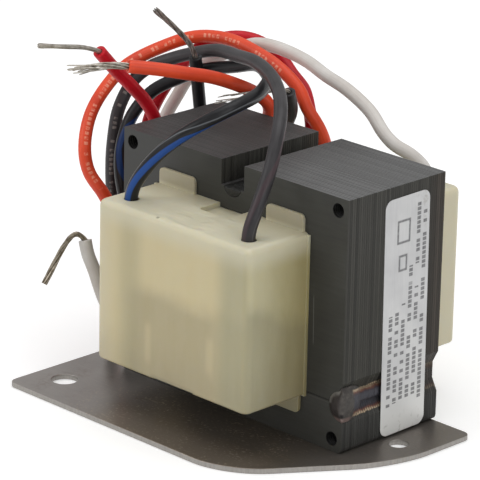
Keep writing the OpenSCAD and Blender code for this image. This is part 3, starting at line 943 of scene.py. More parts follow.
@dataclass(frozen=True)
class MountingSteel:
    """Smooth grey sheet with faint rolling lines, brown bloom and pale specks, bright on its cut edge."""

    front_y: float
    cloud: Grain = Grain(0.06, 4.0, 0.6)
    fine: Grain = Grain(1.4, 4.0, 0.65)
    rolling: Grain = Grain(1.0, 3.0, 0.6, (0.05, 2.4, 1.0))
    rusting: Grain = Grain(0.14, 3.0, 0.6)
    clusters: Grain = Grain(0.28)
    specks: Grain = Grain(1.5)
    shearing: Grain = Grain(1.0, stretch=(2.0, 2.0, 0.3))
    across: Span = (-34.0, 26.0)
    play: Span = (0.62, 1.38)
    inner_y: Span = (1.0, 11.0)
    inner_left: Span = (-24.0, -12.0)
    inner_right: Span = (34.0, 24.0)
    strip_y: Span = (-25.0, -31.0)
    strip_left: Span = (-22.0, -12.0)
    strip_right: Span = (32.0, 24.0)
    speck_left: Span = (-34.0, -20.0)
    speck_right: Span = (30.0, 20.0)
    left: Colour = linear(164, 158, 154)
    right: Colour = linear(126, 120, 114)
    bloom: Colour = linear(112, 98, 84)
    shade: Colour = linear(102, 90, 76)
    lit_front_strip: Colour = linear(160, 146, 130)
    pale: Colour = linear(192, 178, 160)
    cut: Colour = linear(176, 172, 166)
    cut_dark: Colour = linear(138, 134, 130)

    def material(self) -> bpy.types.Material:
        """Builds the material.

        Returns:
            The material.
        """
        r = Recipe("mounting_steel")
        x, y, _ = r.split(r.millimetres())
        cloud, fine, rolled = r.grain(self.cloud), r.grain(self.fine), r.grain(self.rolling)
        # Painted reflection: the plate is lighter towards its left end, where the front-left light reflects,
        # and darker to the right.
        colour = r.mix(r.fade(x, *self.across), self.left, self.right)
        colour = r.scaled(colour, r.weighed((cloud, 0.5), (fine, 0.3), (rolled, 0.2)), *self.play)
        rust = r.times(r.fade(r.grain(self.rusting), 0.42, 0.7), r.fade(fine, 0.35, 0.7))
        colour = r.lay(rust, 0.4, colour, self.bloom)
        inner = r.all_of(r.fade(y, self.front_y + self.inner_y[0], self.front_y + self.inner_y[1]),
                         r.fade(x, *self.inner_left), r.fade(x, *self.inner_right))
        colour = r.lay(inner, 0.45, colour, self.shade)
        # Painted light: a lighter strip on the plate in front of the cover, lifting the shade there.
        strip = r.all_of(r.fade(y, *self.strip_y), r.fade(x, *self.strip_left), r.fade(x, *self.strip_right))
        colour = r.lay(strip, 0.5, colour, self.lit_front_strip)
        speck = r.all_of(r.fade(r.grain(self.specks), 0.56, 0.66), r.fade(x, *self.speck_left),
                         r.spread(r.fade(x, *self.speck_right), 0.15, 1.0),
                         r.spread(r.fade(r.grain(self.clusters), 0.4, 0.6), 0.3, 1.0))
        colour = r.lay(speck, 0.65, colour, self.pale)
        sheared = r.mix(r.grain(self.shearing), self.cut_dark, self.cut)
        colour = r.mix(r.fade(r.turned_to(2), 0.75, 0.4), colour, sheared)
        return r.done(Base_Color=colour, Roughness=r.spread(r.weighed((fine, 0.6), (cloud, 0.4)), 0.3, 0.52),
                      Normal=r.bump(fine, 0.012, r.bump(rolled, 0.01)), Metallic=0.75)


@dataclass(frozen=True)
class WeldTint:
    """Grey weld metal: heat tint along a seam, and a puddle with a dark flank, a pit and a rosy lip."""

    name: str
    tint: Optional[HeatTint] = None
    lumps: Grain = Grain(1.1, 4.0, 0.6)
    fine: Grain = Grain(5.0, 3.0, 0.6)
    pit: Point = (33.6, -14.85, 9.9)
    low: Colour = linear(56, 53, 51)
    grey: Colour = linear(74, 70, 66)
    high: Colour = linear(98, 93, 88)
    flank: Colour = linear(47, 41, 40)
    rim: Colour = linear(128, 126, 122)
    rosy: Colour = linear(158, 134, 128)
    hole: Colour = linear(18, 14, 14)

    def puddle(self, r: Recipe, colour: Input, tint: HeatTint) -> Socket:
        """Shades the puddle where the bead starts.

        Args:
            r: Recipe of the material.
            colour: Colour of the plain metal.
            tint: Tint of the seam, which gives its place.

        Returns:
            The colour's socket.
        """
        x, y, z = r.split(r.millimetres())
        pit_x, pit_y, pit_z = self.pit
        start = r.fade(y, tint.front_y + 3.0, tint.front_y + 1.6)
        flank = r.all_of(r.fade(x, tint.side_x + 0.1, tint.side_x - 0.4), start)
        colour = r.lay(flank, 0.75, colour, self.flank)
        rim = r.all_of(r.fade(y, tint.front_y - 0.5, tint.front_y - 0.2),
                       r.fade(x, tint.side_x - 0.2, tint.side_x - 0.8),
                       r.fade(z, tint.joint_z - 0.8, tint.joint_z + 0.2), start)
        colour = r.lay(rim, 0.8, colour, self.rim)
        colour = r.lay(r.all_of(r.fade(z, pit_z - 0.3, pit_z - 0.9), start), 0.5, colour, self.rosy)
        # Painted shade: a dark spot standing for a small pit.
        pit = r.all_of(r.band(y, pit_y, 0.3, 0.3), r.band(z, pit_z, 0.3, 0.35),
                       r.fade(x, pit_x - 1.2, pit_x - 0.6))
        return r.mix(pit, colour, self.hole)

    def material(self) -> bpy.types.Material:
        """Builds the material.

        Returns:
            The material.
        """
        r = Recipe(self.name)
        lumps, fine = r.grain(self.lumps), r.grain(self.fine)
        colour = r.ramp(lumps, [(0.3, self.low), (0.55, self.grey), (0.8, self.high)])
        if self.tint is not None:
            colour = self.tint.over(r, self.puddle(r, colour, self.tint))
        return r.done(Base_Color=colour, Roughness=r.spread(lumps, 0.34, 0.6),
                      Normal=r.bump(fine, 0.04, r.bump(lumps, 0.1)), Metallic=0.4)


@dataclass(frozen=True)
class SilverFilm:
    """Silver-white film label with plain bars in place of print."""

    middle: Point
    cloud: Grain = Grain(0.12, 3.0, 0.55)
    brush: Grain = Grain(1.0, 3.0, 0.6, (1.0, 3.0, 0.12))
    fading: Grain = Grain(1.6)
    staining: Grain = Grain(0.5, 4.0, 0.65)
    scuffing: Grain = Grain(0.7, 3.0, 0.6)
    film: Colour = linear(206, 206, 206)
    dull: Colour = linear(192, 192, 193)
    clean: Colour = linear(218, 218, 216)
    foot: Colour = linear(236, 236, 233)
    ink: Colour = linear(66, 66, 69)
    grime: Colour = linear(150, 146, 138)
    rows: tuple[tuple[float, float, float], ...] = (
        (-4.4, -19.8, 0.4), (-2.5, -19.4, 1.0), (-0.6, -19.0, 2.5), (1.3, -19.0, 10.5), (3.2, -18.7, 5.5),
        (3.2, 10.5, 24.0), (5.1, -20.4, 22.0))
    frames: tuple[tuple[float, float, float, float], ...] = ((-1.3, 18.5, 2.0, 2.6), (-1.3, 11.6, 1.3, 1.8))
    frame_line: float = 0.5
    row_half: float = 0.55
    row_shift: float = 37.0
    cell: float = 1.0
    foot_z: Span = (-14.0, -24.0)
    stain_y: Span = (0.0, 6.0)
    stain_z: Span = (13.0, 25.0)
    scuff_z: Span = (-20.0, -26.0)

    def printed(self, r: Recipe, place: Socket) -> Socket:
        """Lays out the bars and the two plain frames.

        Args:
            r: Recipe of the material.
            place: Place on the label from its middle.

        Returns:
            The share of ink.
        """
        _, y, z = r.split(place)
        cells = r.ratio(z, self.cell)
        gap = r.band(r.sums("FRACT", cells), 0.5, 0.38, 0.12)
        number_of_cell = r.sums("FLOOR", cells)
        ink: Input = 0.0
        for number, (row, low, high) in enumerate(self.rows, 1):
            pick = r.fade(r.chance(r.plus(number_of_cell, self.row_shift * number)), 0.2, 0.22)
            run = r.band(z, (low + high) / 2, (high - low) / 2, 0.1)
            ink = r.sums("MAXIMUM", ink, r.all_of(r.band(y, row, self.row_half, 0.25), run, pick, gap))
        for frame_y, frame_z, half_y, half_z in self.frames:
            outer, inner = (r.all_of(r.band(y, frame_y, half_y - inset, 0.3),
                                     r.band(z, frame_z, half_z - inset, 0.3))
                            for inset in (0.0, self.frame_line))
            ink = r.sums("MAXIMUM", ink, r.minus(outer, inner))
        return r.times(ink, r.spread(r.grain(self.fading, place), 0.55, 1.1))

    def material(self) -> bpy.types.Material:
        """Builds the material.

        Returns:
            The material.
        """
        r = Recipe("silver_film")
        place = r.millimetres(middle=self.middle)
        _, y, z = r.split(place)
        cloud, brush = r.grain(self.cloud, place), r.grain(self.brush)
        tone = r.weighed((cloud, 0.7), (brush, 0.3))
        colour = r.ramp(tone, [(0.3, self.dull), (0.55, self.film), (0.75, self.clean)])
        colour = r.mix(r.fade(z, *self.foot_z), colour, self.foot)
        colour = r.lay(self.printed(r, place), 0.9, colour, self.ink)
        stain = r.all_of(r.fade(r.grain(self.staining, place), 0.5, 0.68), r.fade(z, *self.stain_z),
                         r.fade(y, *self.stain_y))
        scuff = r.all_of(r.fade(r.grain(self.scuffing, place), 0.55, 0.75), r.fade(z, *self.scuff_z))
        colour = r.lay(r.sums("MAXIMUM", stain, scuff), 0.5, colour, self.grime)
        return r.done(Base_Color=colour, Roughness=r.spread(brush, 0.34, 0.5), Normal=r.bump(cloud, 0.05),
                      Metallic=0.12)


@dataclass(frozen=True)
class Tracer:
    """Coloured stripe along a lead, dimmed by painted shade past a run, with a painted highlight, a thin pale
    line, about a quarter turn on.
    """

    colour: Colour
    line: Colour
    half: float
    glint_turn: float
    shaded_run: float = 300.0
    shaded_share: float = 0.45


@dataclass(frozen=True)
class Dashes:
    """Row of plain faint dashes on one stretch of a sleeve."""

    colour: Colour
    around: float
    run: Span
    strength: float
    pitch: float
    half: float = 0.05


@dataclass(frozen=True)
class Insulation:
    """Satin PVC sleeve with drawing marks, an optional tracer and an optional row of dashes."""

    name: str
    body: Colour
    shade: Colour
    tracer: Optional[Tracer] = None
    dashes: Optional[Dashes] = None
    gloss: float = 0.0
    shine: float = 0.5
    dark_start: float = 0.0
    dark_run: Span = (42.0, 22.0)
    soft: Grain = Grain(0.16, 3.0, 0.55)
    fine: Grain = Grain(2.4, 3.0, 0.6)
    drawing: Grain = Grain(1.0, 3.0, 0.6, (26.0, 40.0, 1.0))
    wearing: Grain = Grain(1.3)

    def striped(self, r: Recipe, colour: Socket, mark: Tracer) -> Socket:
        """Draws the tracer, its painted shade past a run and its painted highlight line.

        Args:
            r: Recipe of the material.
            colour: Colour of the plain sleeve.
            mark: The tracer.

        Returns:
            The colour's socket.
        """
        around, length = r.on_sleeve()
        lap = r.sums("FRACT", r.plus(around, 0.5))
        # Painted shade: past a run the stripe fades towards the sleeve's colour.
        left = r.spread(r.fade(length, mark.shaded_run, mark.shaded_run + 8.0), 1.0, mark.shaded_share)
        colour = r.mix(r.all_of(r.band(lap, 0.5, mark.half, 0.03), left), colour, mark.colour)
        # Darker over the sleeve's first stretch of run.
        if self.dark_start:
            colour = r.lay(r.fade(length, *self.dark_run), self.dark_start, colour, self.shade)
        # Painted highlight: a thin pale line beside the stripe.
        return r.lay(r.band(lap, 0.5 + mark.glint_turn, 0.014, 0.025), 0.7, colour, mark.line)

    def dashed(self, r: Recipe, colour: Socket, row: Dashes) -> Socket:
        """Draws the row of dashes.

        Args:
            r: Recipe of the material.
            colour: Colour of the sleeve beneath.
            row: The dashes.

        Returns:
            The colour's socket.
        """
        around, length = r.on_sleeve()
        start, stop = row.run
        side = r.sums("FRACT", r.minus(around, row.around - 0.5))
        cells = r.ratio(length, row.pitch)
        shown = r.all_of(r.band(side, 0.5, row.half, 0.03),
                         r.fade(r.chance(r.sums("FLOOR", cells)), 0.25, 0.27),
                         r.band(r.sums("FRACT", cells), 0.5, 0.3, 0.12),
                         r.fade(r.grain(self.wearing), 0.3, 0.6),
                         r.band(length, (start + stop) / 2, (stop - start) / 2, 1.0))
        return r.lay(shown, row.strength, colour, row.colour)

    def material(self) -> bpy.types.Material:
        """Builds the material.

        Returns:
            The material.
        """
        r = Recipe(self.name)
        fine = r.grain(self.fine)
        stretched = r.add("Mapping", Vector=r.uv, Scale=self.drawing.stretch)
        drawn = r.grain(self.drawing, stretched.outputs["Vector"])
        tone = r.weighed((r.grain(self.soft), 0.6), (drawn, 0.4))
        colour = r.ramp(tone, [(0.32, self.shade), (0.6, self.body)])
        if self.tracer is not None:
            colour = self.striped(r, colour, self.tracer)
        if self.dashes is not None:
            colour = self.dashed(r, colour, self.dashes)
        return r.done(Base_Color=colour, Roughness=r.spread(fine, 0.36 - self.gloss, 0.5 - self.gloss),
                      Normal=r.bump(fine, 0.012, r.bump(drawn, 0.02)), Specular_IOR_Level=self.shine)


@dataclass(frozen=True)
class TinnedCopper:
    """Tinned strands, bright in places and dull in others."""

    name: str
    bright: Colour
    dull: Colour
    soft: Grain = Grain(0.7, 3.0, 0.55)
    fine: Grain = Grain(5.0, 3.0, 0.6)

    def material(self) -> bpy.types.Material:
        """Builds the material.

        Returns:
            The material.
        """
        r = Recipe(self.name)
        fine = r.grain(self.fine)
        colour = r.ramp(r.grain(self.soft), [(0.3, self.dull), (0.6, self.bright)])
        return r.done(Base_Color=colour, Roughness=r.spread(fine, 0.26, 0.46), Normal=r.bump(fine, 0.02),
                      Metallic=0.8)


@dataclass(frozen=True)
class EnamelledTurns:
    """Enamelled copper wire, wound turn on turn round the bobbin."""

    name: str
    wire: float
    soft: Grain = Grain(0.4, 3.0)
    fine: Grain = Grain(3.0)
    pale: Colour = linear(196, 122, 74)
    groove_shade: Colour = linear(122, 62, 34)

    def material(self) -> bpy.types.Material:
        """Builds the material.

        Returns:
            The material.
        """
        r = Recipe(self.name)
        turn = r.sums("FRACT", r.ratio(r.split(r.millimetres())[2], self.wire))
        # Painted highlight and shade: each turn is paler on its crown and darker in the groove between turns.
        crown = r.sums("SINE", r.times(turn, math.pi))
        tone = r.weighed((crown, 0.7), (r.grain(self.soft), 0.3))
        colour = r.ramp(tone, [(0.2, self.groove_shade), (0.8, self.pale)])
        return r.done(Base_Color=colour, Roughness=r.spread(r.grain(self.fine), 0.25, 0.4),
                      Normal=r.bump(crown, self.wire / 3), Metallic=0.6)


@dataclass(frozen=True)
class FilmTape:
    """Amber film tape with lap lines."""

    name: str
    cloud: Grain = Grain(0.3, 3.0)
    creases: Grain = Grain(1.0, 3.0, 0.6, (0.2, 0.2, 2.0))
    film: Colour = linear(206, 184, 110)
    lap: Colour = linear(168, 142, 74)

    def material(self) -> bpy.types.Material:
        """Builds the material.

        Returns:
            The material.
        """
        r = Recipe(self.name)
        cloud, crease = r.grain(self.cloud), r.grain(self.creases)
        colour = r.ramp(r.weighed((cloud, 0.5), (crease, 0.5)), [(0.35, self.lap), (0.65, self.film)])
        return r.done(Base_Color=colour, Roughness=r.spread(cloud, 0.2, 0.36), Normal=r.bump(crease, 0.08),
                      Coat_Weight=0.3)


@dataclass(frozen=True)
class BobbinPlastic:
    """Plain moulded plastic with flow marks."""

    flow: Grain = Grain(1.0, 3.0, 0.5, (0.3, 0.3, 0.08))
    fine: Grain = Grain(1.6, 3.0, 0.6)
    body: Colour = linear(222, 212, 182)
    shade: Colour = linear(202, 190, 156)

    def material(self) -> bpy.types.Material:
        """Builds the material.

        Returns:
            The material.
        """
        r = Recipe("bobbin_moulding")
        fine = r.grain(self.fine)
        colour = r.ramp(r.grain(self.flow), [(0.35, self.shade), (0.65, self.body)])
        return r.done(Base_Color=colour, Roughness=r.spread(fine, 0.4, 0.58), Normal=r.bump(fine, 0.02),
                      Subsurface_Weight=0.15, Subsurface_Scale=0.002)


@dataclass(frozen=True)
class PaleFloor:
    """White table top that keeps the part's soft shadow."""

    top: Colour = (0.86, 0.86, 0.86)
    lift: float = 0.3

    def material(self) -> bpy.types.Material:
        """Builds the material.

        Returns:
            The material.
        """
        r = Recipe("pale_floor")
        path = r.add("LightPath").outputs
        seen = r.sums("MAXIMUM", path["Is Camera Ray"],
                      r.sums("MAXIMUM", path["Is Glossy Ray"], path["Is Transmission Ray"]))
        return r.done(Base_Color=self.top, Roughness=0.9, Emission_Color=(1.0, 1.0, 1.0),
                      Emission_Strength=r.times(seen, self.lift), Specular_IOR_Level=0.1)


def dress(piece: Piece, material: bpy.types.Material) -> None:
    """Gives a piece one material.

    Args:
        piece: Piece that is dressed.
        material: Its material.
    """
    piece.data.materials.clear()
    piece.data.materials.append(material)


def fit(piece: Piece, node: str) -> None:
    """Rides a piece on the part in place of a CAD node.

    Args:
        piece: New piece.
        node: CAD node that the piece stands for.
    """
    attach(piece, "root")
    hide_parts(node)
    LOG.info("%s stands for %s with %d faces", piece.name, node, len(piece.data.polygons))


def flowing(points: Sequence[Point], steps: int) -> list[Vector]:
    """Draws one smooth curve through points.

    Args:
        points: Points in millimetres.
        steps: Steps between neighbouring points.

    Returns:
        The curve's points in millimetres.
    """
    knots = [Vector(p) for p in points]
    knots = [2 * knots[0] - knots[1], *knots, 2 * knots[-1] - knots[-2]]
    curve = []
    for i in range(1, len(knots) - 2):
        a, b, c, d = knots[i - 1:i + 3]
        for j in range(steps):
            t = j / steps
            curve.append(0.5 * (2 * b + (c - a) * t + (2 * a - 5 * b + 4 * c - d) * t * t
                                + (3 * b - a - 3 * c + d) * t ** 3))
    curve.append(knots[-2])
    return curve


def between(keys: Keys, place: float) -> float:
    """Reads a value between keys.

    Args:
        keys: Places and values, in order of place.
        place: Place that is asked for.

    Returns:
        The value there, held beyond the ends.
    """
    for (low, first), (high, second) in zip(keys, keys[1:]):
        if low <= place <= high:
            return first + (second - first) * (place - low) / (high - low)
    return keys[0][1] if place < keys[0][0] else keys[-1][1]


class TubeMesh:
    """Mesh of round tubes swept along curves, with u round each tube and v along it in metres."""

    smooth_angle = 50.0

    def __init__(self, sides: int) -> None:
        """Starts an empty mesh.

        Args:
            sides: Number of flats round each tube.
        """
        self.sides = sides
        self.points: list[Vector] = []
        self.faces: list[tuple[int, ...]] = []
        self.uvs: list[list[tuple[float, float]]] = []

    @staticmethod
    def headings(curve: Sequence[Vector]) -> list[Vector]:
        """Gives the direction of a curve at each of its points."""
        last = len(curve) - 1
        return [(curve[min(i + 1, last)] - curve[max(i - 1, 0)]).normalized() for i in range(last + 1)]

    def ring(self, middle: Vector, normal: Vector, side: Vector, radius: float) -> int:
        """Adds one ring of points.

        Args:
            middle: Middle of the ring in millimetres.
            normal: Direction of its first point.
            side: Direction of the point a quarter turn on.
            radius: Radius in millimetres.

        Returns:
            Number of the ring's first point.
        """
        first = len(self.points)
        for k in range(self.sides):
            turn = 2 * math.pi * k / self.sides
            self.points.append((middle + radius * (math.cos(turn) * normal + math.sin(turn) * side)) * MM)
        return first

    def sweep(self, curve: Sequence[Vector], tangents: Sequence[Vector], radii: Sequence[float], lean: Vector,
              twist: Keys = ((0.0, 0.0),)) -> None:
        """Sweeps one tube and closes its ends.

        Args:
            curve: Points along the tube in millimetres.
            tangents: Direction of the tube at each point.
            radii: Radius at each point.
            lean: Direction that the first point of the first ring leans to.
            twist: Runs in millimetres and the turn there at which u is nought.
        """
        normal = lean
        run = 0.0
        rings = []
        for i, (middle, tangent) in enumerate(zip(curve, tangents)):
            normal = (normal - normal.dot(tangent) * tangent).normalized()
            if i:
                run += (middle - curve[i - 1]).length
            first = self.ring(middle, normal, tangent.cross(normal), radii[i])
            rings.append((first, between(twist, run), run * MM))
        for (low, low_u, low_v), (high, high_u, high_v) in zip(rings, rings[1:]):
            for k in range(self.sides):
                j = (k + 1) % self.sides
                near, far = k / self.sides, (k + 1) / self.sides
                self.faces.append((low + k, low + j, high + j, high + k))
                self.uvs.append([(near - low_u, low_v), (far - low_u, low_v), (far - high_u, high_v),
                                 (near - high_u, high_v)])
        for (first, _, v), turn in ((rings[0], -1), (rings[-1], 1)):
            self.faces.append(tuple(first + k for k in range(self.sides))[::turn])
            self.uvs.append([(0.5, v)] * self.sides)

    def piece(self, name: str) -> Piece:
        """Makes the piece.

        Args:
            name: Name of the piece.

        Returns:
            The piece, shaded smooth.
        """
        mesh = bpy.data.meshes.new(name)
        mesh.from_pydata(self.points, [], self.faces)
        layer = mesh.uv_layers.new(name="UVMap")
        flat = [corner for face in self.uvs for corner in face]
        for loop, uv in zip(layer.data, flat):
            loop.uv = uv
        mesh.validate()
        piece = bpy.data.objects.new(name, mesh)
        bpy.context.scene.collection.objects.link(piece)
        Bench.shade(piece, self.smooth_angle)
        return piece


@dataclass(frozen=True)
class StrippedEnd:
    """How the bare strands at the end of a lead lie."""

    strands: int
    thick: float
    bundle: float
    turns: float
    splay: float
    splay_from: float
    seed: int
    ragged: float = 0.0
    longer: float = 0.0
    bright: Colour = linear(204, 198, 188)
    dull: Colour = linear(150, 142, 130)
    root: float = 2.0
    steps: int = 8
    sides: int = 7
    least_splay: float = 0.2
    loosening: float = 0.35
    bend: float = 1.6
    tip: float = 0.7


@dataclass
class Lead:
    """One stranded lead: its sleeve, its stripped end and where it comes out of a cover."""

    name: str
    route: list[Point]
    end: list[Point]
    sleeve: Insulation
    stripped: StrippedEnd
    twist: Keys = ((0.0, 0.0),)
    exit_z: float = 47.1
    diameter: float = 2.9
    bore: float = 1.3
    sides: int = 24
    steps: int = 6
    lean: Point = (0.6, 0.64, 0.48)

    def sleeve_piece(self) -> Piece:
        """Sweeps the insulation, with a cut end that shows its bore.

        Returns:
            The sleeve.
        """
        curve = flowing(self.route, self.steps)
        radius, bore = self.diameter / 2, self.bore / 2
        heading = (curve[-1] - curve[-2]).normalized()
        # Rings of the cut end: how far each lies back from the tip, and its radius.
        cut = [(0.12, radius), (0.03, radius - 0.05), (0.0, radius - 0.16), (0.02, bore + 0.1), (0.12, bore),
               (0.9, bore - 0.05)]
        points = curve[:-1] + [curve[-1] - back * heading for back, _ in cut]
        radii = [radius] * (len(curve) - 1) + [ring for _, ring in cut]
        tangents = TubeMesh.headings(curve)[:-1] + [heading] * len(cut)
        tube = TubeMesh(self.sides)
        tube.sweep(points, tangents, radii, Vector(self.lean), self.twist)
        return tube.piece(self.name + "_sleeve")

    def strand_piece(self) -> Piece:
        """Lays the bare strands, twisted together and splayed towards their ends.

        Returns:
            The strands.
        """
        lay = self.stripped
        draw = random.Random(lay.seed)
        start = Vector(self.route[-1])
        heading = (start - Vector(self.route[-2])).normalized()
        middle = flowing([tuple(start - lay.root * heading), tuple(start), *self.end], lay.steps)
        full = len(middle)
        onward = middle[-1] - middle[-2]
        middle += [middle[-1] + (k + 1) * onward for k in range(round(lay.longer * full))]
        tangents = TubeMesh.headings(middle)
        tube = TubeMesh(lay.sides)
        spots = [(0.0, 0.0)] if lay.strands % 6 == 1 else []
        layer = 1
        while len(spots) < lay.strands:
            ring = min(6 * layer, lay.strands - len(spots))
            spots += [(layer * lay.bundle, 2 * math.pi * k / ring) for k in range(ring)]
            layer += 1
        for distance, angle in spots:
            fan = lay.splay * draw.uniform(lay.least_splay, 1.0)
            fan_angle = draw.uniform(0.0, 2 * math.pi)
            keep = round(full * (1 + lay.longer * draw.random() - lay.ragged * draw.random()))
            normal = Vector(self.lean)
            path = []
            for i, (point, tangent) in enumerate(zip(middle, tangents)):
                normal = (normal - normal.dot(tangent) * tangent).normalized()
                side = tangent.cross(normal)
                share = i / (full - 1)
                turn = angle + 2 * math.pi * lay.turns * share
                late = max(0.0, (share - lay.splay_from) / (1 - lay.splay_from))
                reach = distance * (1 + lay.loosening * late)
                away = fan * late ** lay.bend
                path.append(point + reach * (math.cos(turn) * normal + math.sin(turn) * side)
                            + away * (math.cos(fan_angle) * normal + math.sin(fan_angle) * side))
            path = path[:keep]
            radii = [lay.thick / 2] * len(path)
            radii[-1] *= lay.tip
            tube.sweep(path, TubeMesh.headings(path), radii, Vector(self.lean))
        return tube.piece(self.name + "_strands")

    def build(self) -> None:
        sleeve = self.sleeve_piece()
        dress(sleeve, self.sleeve.material())
        fit(sleeve, self.name + "_lead")
        strands = self.strand_piece()
        tin = TinnedCopper(self.name + "_tinned", self.stripped.bright, self.stripped.dull)
        dress(strands, tin.material())
        fit(strands, self.name + "_conductor")


@dataclass
class LaminatedCore:
    """Welded stacks of E and I sheets."""

    sheets: int = 46
    play: float = 0.015
    jitter: float = 0.035
    burr: float = 0.06
    tongue_w: float = 22.2
    window_w: float = 11.1
    window_h: float = 33.3
    slot_w: float = 6.7
    slot_h: float = 5.6
    groove_w: float = 5.2
    groove_h: float = 2.0
    seam_half: float = 4.5
    seam_flat: float = 1.8
    seam_depth: float = 1.4
    bolt_hole_d: float = 3.0
    bolt_hole_inset: float = 2.8
    bar_corner_r: float = 1.2
    overcut: float = 2.0
    clear: float = 1.0
    seed: int = 4
    low: Vector = field(init=False)
    high: Vector = field(init=False)
    joint_z: float = field(init=False)

    def __post_init__(self) -> None:
        """Takes the stacks' corners from the CAD nodes."""
        bar_low, bar_high = node_box("lower_core")
        self.low = bar_low
        self.high = node_box("upper_core")[1]
        self.joint_z = bar_high.z

    @property
    def pitch(self) -> float:
        """Gives the distance from sheet to sheet."""
        return (self.high.y - self.low.y) / self.sheets

    def sheet(self, name: str, bottom: float, top: float) -> Piece:
        """Cuts one sheet's blank at the front of the stack.

        Args:
            name: Name of the sheet.
            bottom: Its lower edge.
            top: Its upper edge.

        Returns:
            The blank with its side grooves and bolt holes.
        """
        front, half_play = self.low.y, self.play / 2
        blank = Bench.block(name, (self.low.x, front + half_play, bottom),
                            (self.high.x, front + self.pitch - half_play, top))
        hole_z = top - self.bolt_hole_inset if bottom == self.joint_z else bottom + self.bolt_hole_inset
        for side in (-1, 1):
            hole = Bench.rod("hole", (side * (self.high.x - self.bolt_hole_inset), front, hole_z),
                             self.bolt_hole_d / 2, 2 * self.overcut, Axis.Y, 28)
            Bench.combine(blank, hole, Join.CUT)
            Bench.combine(blank, self.seam_wedge(side), Join.CUT)
        return blank

    def cutter(self, name: str, across: Span, upward: Span) -> Piece:
        """Makes a block that reaches through the first sheet.

        Args:
            name: Name of the block.
            across: Its two sides, in either order.
            upward: Its lower and upper ends.

        Returns:
            The block.
        """
        left, right = sorted(across)
        return Bench.block(name, (left, self.low.y - self.overcut, upward[0]),
                           (right, self.low.y + self.overcut, upward[1]))

    def seam_wedge(self, side: int) -> Piece:
        """Shapes the wedge that cuts a side groove.

        Args:
            side: -1 for the left groove and 1 for the right one.

        Returns:
            The wedge.
        """
        face = side * self.high.x
        bottom = face - side * self.seam_depth
        height = (self.joint_z - self.seam_half, self.joint_z + self.seam_half)
        wedge = self.cutter("wedge", (face, bottom), height)
        mesh = Bench.opened(wedge, "VERT", "DESELECT")
        for vertex in mesh.verts:
            vertex.select_set(same(vertex.co.x / MM, bottom))
        mesh.select_flush_mode()
        bmesh.update_edit_mesh(wedge.data)
        bpy.ops.transform.resize(value=(1.0, 1.0, self.seam_flat / self.seam_half),
                                 center_override=(bottom * MM, self.low.y * MM, self.joint_z * MM))
        Bench.closed()
        Bench.combine(wedge, self.cutter("outer", (face, face + side * self.clear), height), Join.ADD)
        return wedge

    def e_sheet(self) -> Piece:
        """Cuts one E sheet: windows, top slot and round weld groove.

        Returns:
            The sheet.
        """
        sheet = self.sheet("e_sheet", self.joint_z, self.high.z)
        half = self.tongue_w / 2
        for side in (-1, 1):
            window = self.cutter("window", (side * half, side * (half + self.window_w)),
                                 (self.joint_z - self.clear, self.joint_z + self.window_h))
            Bench.combine(sheet, window, Join.CUT)
        slot_z = self.high.z - self.slot_h
        slot = self.cutter("slot", (-self.slot_w / 2, self.slot_w / 2), (slot_z, self.high.z + self.clear))
        Bench.combine(sheet, slot, Join.CUT)
        radius = (self.groove_w ** 2 / 4 + self.groove_h ** 2) / (2 * self.groove_h)
        groove = Bench.rod("groove", (0.0, self.low.y, slot_z - self.groove_h + radius), radius,
                           2 * self.overcut, Axis.Y)
        Bench.combine(sheet, groove, Join.CUT)
        return sheet

    def i_sheet(self) -> Piece:
        """Cuts one I sheet with its rounded lower corners.

        Returns:
            The sheet.
        """
        sheet = self.sheet("i_sheet", self.low.z, self.joint_z)
        Bench.round_edges(sheet, lambda a, b: lies_at(a, b, self.low.z) and same(abs(a.x), self.high.x)
                          and same(a.x, b.x), self.bar_corner_r, 5)
        return sheet

    def stack(self, sheet: Piece, name: str, draw: random.Random) -> Piece:
        """Stacks copies of a sheet, each a hair out of line.

        Args:
            sheet: First sheet, which becomes part of the stack.
            name: Name of the stack.
            draw: Source of the small shifts.

        Returns:
            The stack.
        """
        Bench.soften(sheet, self.burr, 1)
        copies = [sheet]
        for number in range(1, self.sheets):
            copy = sheet.copy()
            copy.data = sheet.data.copy()
            bpy.context.scene.collection.objects.link(copy)
            inner = number < self.sheets - 1
            shift = [draw.uniform(-self.jitter, 0.0) if inner else 0.0 for _ in range(2)]
            copy.location = (shift[0] * MM, number * self.pitch * MM, shift[1] * MM)
            copies.append(copy)
        return Bench.joined(copies, name)

    def build(self) -> None:
        """Makes and dresses both stacks."""
        draw = random.Random(self.seed)
        inset = self.bolt_hole_inset
        varnish = CoreVarnish(-self.low.y, self.pitch, self.joint_z, self.high.x, self.high.x - inset,
                              (self.low.z + inset, self.high.z - inset), self.bolt_hole_d / 2).material()
        sheets = ((self.e_sheet(), "e_laminations", "upper_core"),
                  (self.i_sheet(), "i_laminations", "lower_core"))
        for sheet, name, node in sheets:
            stack = self.stack(sheet, name, draw)
            dress(stack, varnish)
            fit(stack, node)


